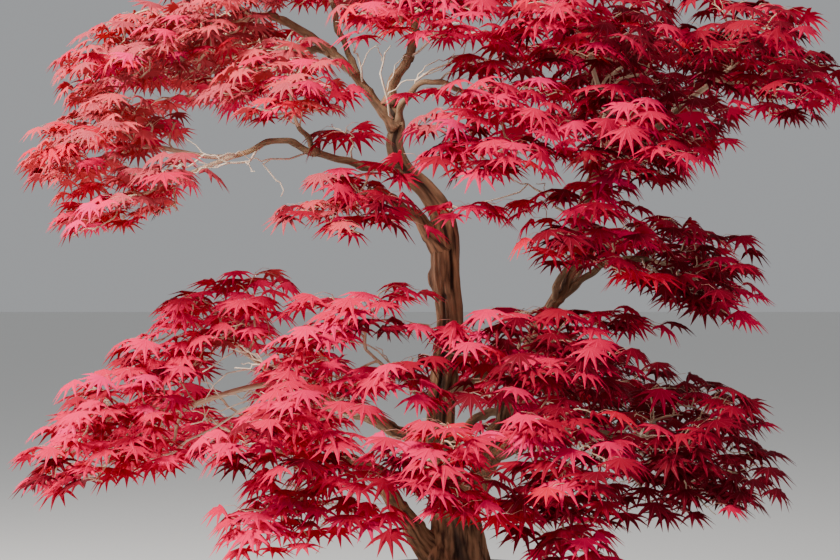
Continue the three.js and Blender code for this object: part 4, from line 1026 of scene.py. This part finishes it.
def leaf_template():
    """A flat leaf of length one round its heart: for each lobe a rib point, two shoulders and a tip, with
    notches between. Returns points along and aside, their height from the pleats, the squares of their
    reach, and the triangles, with the ribs as slim blades of their own over the lobes."""
    lobe = np.arange(LOBES) - LOBES // 2
    turn, share = lobe * LOBE_TURN, np.cos(LOBE_SHORTER * lobe)
    notch = np.arange(LOBES + 1) - (LOBES // 2 + 0.5)
    notch_reach = np.where(np.abs(notch) > LOBES / 2 - 0.1, NECK, SINUS * np.cos(LOBE_SHORTER * notch))
    rings = [
        (0 * turn[:1], 0 * turn[:1], RIB_HEIGHT * HEART_HEIGHT),
        (notch * LOBE_TURN, notch_reach, -VALLEY_DEPTH),
        (turn, share * RIB_REACH, RIB_HEIGHT),
        (turn - SHOULDER_TURN, share * SHOULDER_REACH, 0.0),
        (turn + SHOULDER_TURN, share * SHOULDER_REACH, 0.0),
        (turn, share, TIP_HEIGHT),
        (turn, VEIN_FROM + 0 * share, RIB_HEIGHT * HEART_HEIGHT + VEIN_LIFT),
        (turn - VEIN_TURN, share * VEIN_WIDEST, RIB_HEIGHT + VEIN_LIFT),
        (turn + VEIN_TURN, share * VEIN_WIDEST, RIB_HEIGHT + VEIN_LIFT),
        (turn, share * VEIN_TO, TIP_HEIGHT + VEIN_LIFT),
    ]
    angle = np.concatenate([ring[0] for ring in rings])
    reach = np.concatenate([ring[1] for ring in rings])
    height = np.concatenate([np.full(len(ring[0]), ring[2]) for ring in rings])
    starts = np.cumsum([0] + [len(ring[0]) for ring in rings])
    k = np.arange(LOBES)
    heart, left, right = 0 * k, starts[1] + k, starts[1] + k + 1
    rib, low, high, tip, root, one, other, end = (starts[place] + k for place in range(2, 10))
    blade = ((heart, left, rib), (heart, rib, right), (left, low, rib), (rib, high, right), (low, tip, rib),
             (rib, tip, high))
    vein = ((root, one, other), (one, end, other))
    blade, vein = (np.concatenate([np.stack(corners, axis=1) for corners in part]) for part in (blade, vein))
    return reach * np.cos(angle), reach * np.sin(angle), height, reach**2, blade, vein


LEAF_X, LEAF_Y, LEAF_Z, LEAF_SAG, BLADE_FACES, VEIN_FACES = leaf_template()


def dealt_tints(spots, under, dice):
    """A tint for each spray, by where it hangs: dusty ones are dealt more often to the upper left, and deep
    ones, as painted shade, more often to the right, low near the trunk and under a mass's upper layer, and
    most low on the right."""
    x, y, z = spots.T
    upper_left = rising(-x, DUSTY_LEFT, DUSTY_FADE) * rising(z, DUSTY_ABOVE, DUSTY_UP_FADE)
    low, right = rising(-z, -LOW_BELOW, LOW_FADE), rising(x, RIGHT_FROM, RIGHT_FADE)
    inside = INSIDE * low * np.exp(-((np.hypot(x, y - INSIDE_BACK) / INSIDE_REACH) ** 2))
    low_right = right * low
    deep = np.clip(right + inside + UNDER * under, 0, 1) * (1 - low_right) * (1 - upper_left)
    share = np.stack([np.clip(1 - upper_left - deep - low_right, 0, 1), upper_left, deep, low_right], axis=1)
    chances = share @ np.array([often for _, _, often in TINTS.values()]).T
    chances = np.cumsum(chances / chances.sum(1, keepdims=True), axis=1)
    return (dice.uniform(0, 1, (len(spots), 1)) > chances).sum(1)


def along_paths(paths, back):
    """The point on each path at a length back from its end."""
    homeward = paths[:, ::-1]
    far = lengths_along(homeward)
    place = np.minimum(back, far[:, -1] * 0.9)
    span = np.clip((far < place[:, None]).sum(1) - 1, 0, paths.shape[1] - 2)
    row = np.arange(len(paths))
    t = ((place - far[row, span]) / np.maximum(far[row, span + 1] - far[row, span], 1e-9))[:, None]
    return homeward[row, span] * (1 - t) + homeward[row, span + 1] * t


def apart(points, wanted, least):
    """Which of the wanted points to keep so that none lies nearer than a least distance to one kept before
    it. Heights count three times."""
    stretched = points * (1, 1, 3)
    near = np.linalg.norm(stretched[:, None] - stretched[None], axis=-1) < least
    kept = wanted.copy()
    for place in np.flatnonzero(wanted):
        if (near[place, :place] & kept[:place]).any():
            kept[place] = False
    return kept


def hang_leaves(paths, aheads, scale, pitch_at, dice):
    """Five leaves to each spray: where each heart is, the leaf's own three directions, its length and droop,
    its stalk's root, the way the stalk goes and its spray. pitch_at gives how steeply a leaf hangs."""
    spray = np.repeat(np.arange(len(paths)), LEAVES_EACH)
    place = np.tile(np.arange(LEAVES_EACH), len(paths))
    total = len(spray)
    back = np.array(LEAF_BACK)[place] * dice.uniform(*BACK_RANGE, total) * scale
    stalk_root = along_paths(paths[spray], back)
    ahead = turned_about_up(aheads[spray], np.array(LEAF_TURNS)[place] + dice.normal(0, TURN_STRAY, total))
    length = LEAF_LENGTH * scale * dice.uniform(*LENGTH_RANGE, total)
    stalk = LEAF_STALK * scale * dice.uniform(*STALK_RANGE, total)
    heart = stalk_root + ahead * stalk[:, None] + UP * dice.normal(HEART_RISE, HEART_STRAY, total)[:, None]
    pitch = pitch_at(heart) + dice.normal(0, PITCH_STRAY, total)
    forward = ahead * np.cos(pitch)[:, None] - UP * np.sin(pitch)[:, None]
    side = np.cross(UP, ahead)
    roll = dice.normal(0, ROLL_STRAY, total)[:, None]
    normal = np.cross(forward, side)
    side, normal = side * np.cos(roll) + normal * np.sin(roll), normal * np.cos(roll) - side * np.sin(roll)
    droop = dice.uniform(*DROOP_RANGE, total)
    return heart, forward, side, normal, length, droop, stalk_root, ahead, spray


def leaves_of(number, paths, aheads, dice):
    """The leaves of a mass's sprays, steeper towards its rim. One that would leave the mass's space, touch a
    limb, hang in an opening or crowd another is left out."""
    def pitch_at(points):
        return PITCH + PITCH_HIGHER * upper[number] + PITCH_OUTWARD * np.linalg.norm(
            in_ball(number, points)[..., :2], axis=-1)

    scale = leaf_scales[number]
    parts = hang_leaves(paths, aheads, scale, pitch_at, dice)
    heart, forward, side, normal, length, droop = parts[:6]
    onward, aside = SIDE_TIP[0] * forward, SIDE_TIP[1] * side
    tips = heart[:, None] + length[:, None, None] * (
        np.stack([forward, onward + aside, onward - aside], axis=1) - droop[:, None, None] * normal[:, None])
    keep = holds(number, heart, HEART_SLACK, MINGLE) & holds(number, tips, TIP_SLACK, 2 * MINGLE).all(1)
    keep &= clear_of_limbs(heart, LEAF_CLEAR) & ~in_opening(heart)
    keep &= apart(heart, keep, LEAST_APART * scale)
    return [part[keep] for part in parts]


def leaf_mesh(heart, forward, side, normal, length, droop, tint):
    """Many leaves at once: heart + length * (along * forward + aside * side + (pleat - droop * reach squared)
    * normal), with each leaf's blade in its spray's tint and its ribs in that tint's own."""
    up = LEAF_Z[None] - droop[:, None] * LEAF_SAG[None]
    points = heart[:, None] + length[:, None, None] * (
        LEAF_X[None, :, None] * forward[:, None] + LEAF_Y[None, :, None] * side[:, None]
        + up[..., None] * normal[:, None])
    offset = (len(LEAF_X) * np.arange(len(heart)))[:, None, None]
    faces = [(part[None] + offset).reshape(-1, 3) for part in (BLADE_FACES, VEIN_FACES)]
    which = np.concatenate([
        np.repeat(tint_order[tint], len(BLADE_FACES)), np.repeat(rib_order[tint], len(VEIN_FACES))])
    return points.reshape(-1, 3), faces, which


twig_material, _, _ = new_material("twig bark", linear(196, 168, 138), roughness=0.7)
stalk_material, _, _ = new_material("leaf stalk", linear(208, 142, 124), roughness=0.6)


def dress(name, paths, radii, hung, tint, bark_of_twigs, nodes):
    """Two pieces from a group of twigs and what hangs on them: the leaves, and the twigs with the stalks."""
    heart, forward, side, normal, length, droop, stalk_root, ahead, spray = hung
    points, faces, which = leaf_mesh(heart, forward, side, normal, length, droop, tint[spray])
    leaves = new_piece(f"{name}_leaves", points, faces, list(leaf_materials.values()), which, smooth=False)
    across = unit(np.cross(paths[:, -1] - paths[:, 0], UP) + (1e-3, 0, 0))[:, None]
    twigs = tubes(paths, radii[..., None], TWIG_SIDES, across)
    neck = heart - forward * (NECK * STALK_INTO * length)[:, None]
    bend = (stalk_root + neck) / 2 + UP * STALK_ARCH
    stalk_paths = np.stack([stalk_root, bend, neck], axis=1)
    across = unit(np.cross(ahead, UP))[:, None]
    stalks = tubes(stalk_paths, np.array(STALK_RADII)[None, :, None], STALK_SIDES, across)
    points, faces = joined([twigs[:2], stalks[:2]])
    which = np.repeat((0, 0, 1, 1), [len(part) for part in faces])
    wood = new_piece(f"{name}_twigs", points, faces, [bark_of_twigs, stalk_material], which, smooth=False)
    for piece, slot in ((leaves, "leaves"), (wood, "bark")):
        if nodes:
            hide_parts(*nodes)
        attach(piece, "root")


for number, mass_name in enumerate(mass_names):
    dice = np.random.default_rng(TWIG_SEED + number)
    twig_paths, parents, forks, aheads, limb_tip = grow_twigs(number, dice)
    hung = leaves_of(number, twig_paths[1:], aheads, dice)
    inner = in_ball(number, twig_paths[1:, -1])
    # How far a spray lies under its mass's upper layer, where its tint is dealt darker as painted shade.
    under = 1 - np.clip(np.linalg.norm(inner[:, :2], axis=1) * UNDER_RIM + inner[:, 2] + UNDER_TOP, 0, 1)
    tint = dealt_tints(twig_paths[1:, -1], under, dice)
    dress(mass_name, twig_paths, twig_radii(parents, forks, limb_tip), hung, tint, twig_material, [mass_name])

# Between the masses thin twigs stand out of the limbs by themselves: pale crooked ones that are bare, and
# ones that carry a few sprays at their end.
LONE_TWIGS = {  # the limb it grows from, at which share, its shoots, its sprays, and where it bends
    "bare twig at the fork": ("trunk", 0.955, 4, 0, (
        (-0.158, -0.04, 1.583), (-0.166, -0.05, 1.629), (-0.161, -0.055, 1.678), (-0.147, -0.06, 1.7))),
    "bare twig over the fork": ("right_near_bough", 0.3, 4, 0, (
        (-0.075, -0.085, 1.635), (-0.023, -0.11, 1.655), (0.023, -0.12, 1.7))),
    "bare twig on the upper bough": ("upper_left_bough", 0.3, 3, 0, (
        (-0.225, -0.04, 1.68), (-0.222, -0.06, 1.72))),
    "bare twig on the left bough": ("left_bough", 0.8, 5, 0, (
        (-0.47, -0.08, 1.43), (-0.515, -0.12, 1.425), (-0.57, -0.15, 1.43))),
    "long twig on the left bough": ("left_bough", 0.55, 2, 0, (
        (-0.43, -0.09, 1.43), (-0.4, -0.12, 1.385), (-0.39, -0.13, 1.355))),
    "bare twig on the right stem": ("right_stem", 0.83, 4, 0, (
        (0.23, -0.04, 1.345), (0.19, -0.06, 1.38), (0.138, -0.07, 1.369), (0.06, -0.08, 1.344))),
    "bare twig low on the left": ("low_left_bough", 0.6, 9, 0, ((-0.4, -0.1, 0.97), (-0.49, -0.16, 0.975))),
    "bare twig under the left": ("low_left_bough", 0.45, 8, 0, (
        (-0.34, -0.08, 0.86), (-0.46, -0.13, 0.885))),
    "fine twig over the left opening": ("low_left_bough", 0.75, 1, 0, (
        (-0.417, -0.06, 0.985), (-0.495, -0.09, 1.006), (-0.567, -0.11, 0.963))),
    "fine twig in the left opening": ("low_left_bough", 0.85, 2, 0, (
        (-0.43, -0.05, 0.965), (-0.495, -0.08, 0.967), (-0.563, -0.1, 0.9))),
    "fine twig under the left opening": ("low_left_bough", 0.95, 2, 0, (
        (-0.455, -0.03, 0.905), (-0.518, -0.06, 0.911), (-0.574, -0.08, 0.94))),
    "fine twig before the left stem": ("low_left_bough", 0.97, 1, 0, (
        (-0.462, -0.04, 0.889), (-0.54, -0.07, 0.877), (-0.596, -0.09, 0.844))),
    "fine twig over the middle": ("low_inner_bough", 0.6, 2, 0, (
        (-0.16, -0.12, 0.995), (-0.235, -0.15, 1.03), (-0.3, -0.17, 1.015))),
    "fine twig beside the trunk": ("low_top_bough", 0.6, 2, 0, (
        (0.05, -0.09, 0.985), (-0.005, -0.12, 1.01), (-0.065, -0.14, 1.03))),
    "spray left of the fork": ("left_bough", 0.3, 1, 1, ((-0.235, -0.06, 1.49), (-0.246, -0.09, 1.512))),
    "spray right of the fork": ("right_near_bough", 0.35, 1, 1, (
        (-0.06, -0.1, 1.59), (-0.045, -0.12, 1.588))),
    "spray right of the trunk": ("trunk", 0.755, 1, 2, ((-0.005, -0.05, 1.33), (0.035, -0.085, 1.328))),
    "spray under the tiers": ("right_stem", 0.52, 1, 3, ((0.32, -0.02, 1.085), (0.42, -0.06, 1.068))),
    "spray over the right": ("top_bough", 0.5, 2, 4, ((-0.02, -0.06, 1.74), (0.07, -0.12, 1.7))),
    "spray under the near mass": ("right_near_bough", 0.95, 1, 3, (
        (-0.015, -0.22, 1.5), (-0.035, -0.26, 1.425))),
    "spray over the near mass": ("right_near_bough", 0.55, 1, 3, (
        (0.02, -0.14, 1.65), (0.065, -0.18, 1.65))),
    "spray under the fork": ("fork_bough", 0.9, 1, 2, ((-0.185, -0.13, 1.325), (-0.17, -0.19, 1.3))),
    "spray under the outer tier": ("tier_outer_bough", 0.95, 1, 3, (
        (0.49, -0.06, 1.16), (0.525, -0.1, 1.13))),
    "spray before the foot": ("low_front_bough", 0.95, 1, 2, ((0.01, -0.32, 0.745), (0.05, -0.39, 0.685))),
    "spray low on the right": ("low_right_bough", 0.95, 1, 3, ((0.49, -0.06, 0.735), (0.54, -0.1, 0.695))),
    "spray under the tier": ("tier_outer_bough", 0.9, 1, 2, ((0.43, -0.08, 1.185), (0.425, -0.12, 1.16))),
    "spray before the right stems": ("right_stem", 0.97, 1, 3, (
        (0.335, -0.1, 1.555), (0.325, -0.19, 1.595))),
    "spray under the middle": ("right_stem", 0.96, 1, 2, ((0.355, -0.15, 1.445), (0.365, -0.22, 1.43))),
    "spray before the inner mass": ("low_inner_bough", 0.9, 1, 4, (
        (-0.15, -0.19, 0.955), (-0.125, -0.25, 0.93))),
    "spray before the stems": ("low_top_bough", 0.9, 1, 2, ((0.075, -0.17, 0.945), (0.06, -0.25, 0.92))),
    "spray between the right masses": ("low_right_bough", 0.9, 1, 3, (
        (0.4, -0.12, 0.835), (0.42, -0.19, 0.82))),
    "spray under the right": ("low_right_bough", 0.7, 1, 4, ((0.39, -0.09, 0.73), (0.42, -0.14, 0.67))),
    "spray beside the front": ("low_left_limb", 0.95, 1, 4, ((-0.22, -0.28, 0.775), (-0.215, -0.36, 0.74))),
    "spray at the skirt": ("low_left_limb", 0.8, 1, 3, ((-0.23, -0.28, 0.7), (-0.225, -0.36, 0.665))),
    "spray left of the skirt": ("low_left_limb", 0.97, 1, 2, ((-0.38, -0.27, 0.71), (-0.43, -0.31, 0.665))),
    "spray under the left": ("low_left_bough", 0.97, 1, 4, ((-0.6, -0.05, 0.81), (-0.73, -0.08, 0.735))),
    "spray under the left tier": ("left_bough", 0.97, 1, 3, ((-0.58, -0.17, 1.43), (-0.62, -0.22, 1.405))),
    "spray before the back bough": ("upper_left_bough", 0.75, 1, 3, (
        (-0.36, -0.06, 1.705), (-0.38, -0.12, 1.68))),
    "spray before the far bough": ("right_far_bough", 0.8, 1, 3, (
        (0.5, -0.07, 1.565), (0.515, -0.13, 1.56))),
    "spray before the right stem": ("right_stem", 0.86, 1, 3, ((0.3, -0.08, 1.385), (0.305, -0.15, 1.375))),
}
LONE_SEED, LONE_TINT_SEED = 9, 12
LONE_STRAY, LONE_CLEAR = 0.0055, 0.012
LONE_LIMB_SHARE, LONE_THICKEST, LONE_THIN, LONE_LOAD = 0.6, 0.0034, 0.0012, 0.0006
LONE_TIP, SHOOT_ROOT = 0.0013, 0.0018
LONE_SPREAD, SPREAD_RANGE, SPREAD_RISE = 0.052, (0.9, 1.6), (-0.35, 0.35)  # of the sprays about its end
SHOOT_LENGTH, SHOOT_RANGE, SHOOT_RISE = 0.105, (0.4, 1.1), (-0.3, 0.9)
SHOOT_ONWARD, SHOOT_LEAVES, SHOOT_CROOK = 0.7, 0.7, 0.03
SHOOT_TURN, SHOOT_TURN_MORE = 0.9, 0.5
LONE_PITCH = 0.38
lone_share = np.linspace(0, 1, TWIG_STATIONS)
lone_paths, lone_radii, lone_aheads, lone_sprays = [], [], [], []
dice = np.random.default_rng(LONE_SEED)
for limb_name, leaves_at, shoots, sprays, way in LONE_TWIGS.values():
    lone_start, limb_radius = place_on(limb_paths[limb_name], leaves_at)
    stem = curve_through([lone_start, *way], lone_share)
    stem[1:-1] += dice.normal(0, LONE_STRAY, (TWIG_STATIONS - 2, 3))
    thick = min(LONE_LIMB_SHARE * limb_radius, LONE_THICKEST, LONE_THIN + LONE_LOAD * (shoots + sprays))
    lone_paths.append(stem)
    lone_radii.append(np.linspace(thick, LONE_TIP, TWIG_STATIONS))
    along_stem = unit(np.gradient(stem, axis=0))
    level = unit(along_stem[-1] * (1, 1, 0))
    if sprays:
        lone_sprays.append(len(lone_paths) - 1)
        lone_aheads.append(level)
    rises, length, lengths = (
        (SPREAD_RISE, LONE_SPREAD, SPREAD_RANGE) if sprays else (SHOOT_RISE, SHOOT_LENGTH, SHOOT_RANGE))
    for shoot in range(shoots + sprays - 1):
        station = TWIG_STATIONS - 2 - shoot % 5 if sprays else 2 + (3 * shoot) % (TWIG_STATIONS - 3)
        aside = turned_about_up(level, (SHOOT_TURN + SHOOT_TURN_MORE * dice.uniform()) * (1, -1)[shoot % 2])
        rise = UP * dice.uniform(*rises)
        far = length * dice.uniform(*lengths)
        onward = along_stem[station]
        end = stem[station] + unit(SHOOT_ONWARD * onward + aside + rise) * far
        path = bow(stem[station], onward * far * SHOOT_LEAVES, end, aside * far, lone_share)
        path[2:] += dice.normal(0, SHOOT_CROOK * far, (TWIG_STATIONS - 2, 3))
        lone_paths.append(path)
        lone_radii.append(np.linspace(SHOOT_ROOT, TWIG_LEAST, TWIG_STATIONS))
        if sprays:
            lone_sprays.append(len(lone_paths) - 1)
            lone_aheads.append(aside)
lone_paths = np.array(lone_paths)
spray_paths = lone_paths[lone_sprays]
hung = hang_leaves(spray_paths, np.array(lone_aheads), 1.0, lambda points: LONE_PITCH, dice)
keep = clear_of_limbs(hung[0], LONE_CLEAR)
keep &= apart(hung[0], keep, LEAST_APART)
hung = [part[keep] for part in hung]
lone_tint = dealt_tints(spray_paths[:, -1], np.zeros(len(spray_paths)), np.random.default_rng(LONE_TINT_SEED))
pale_twig, _, _ = new_material("pale lone twig", linear(216, 198, 172), roughness=0.75)
dress("lone", lone_paths, np.array(lone_radii), hung, lone_tint, pale_twig, [])
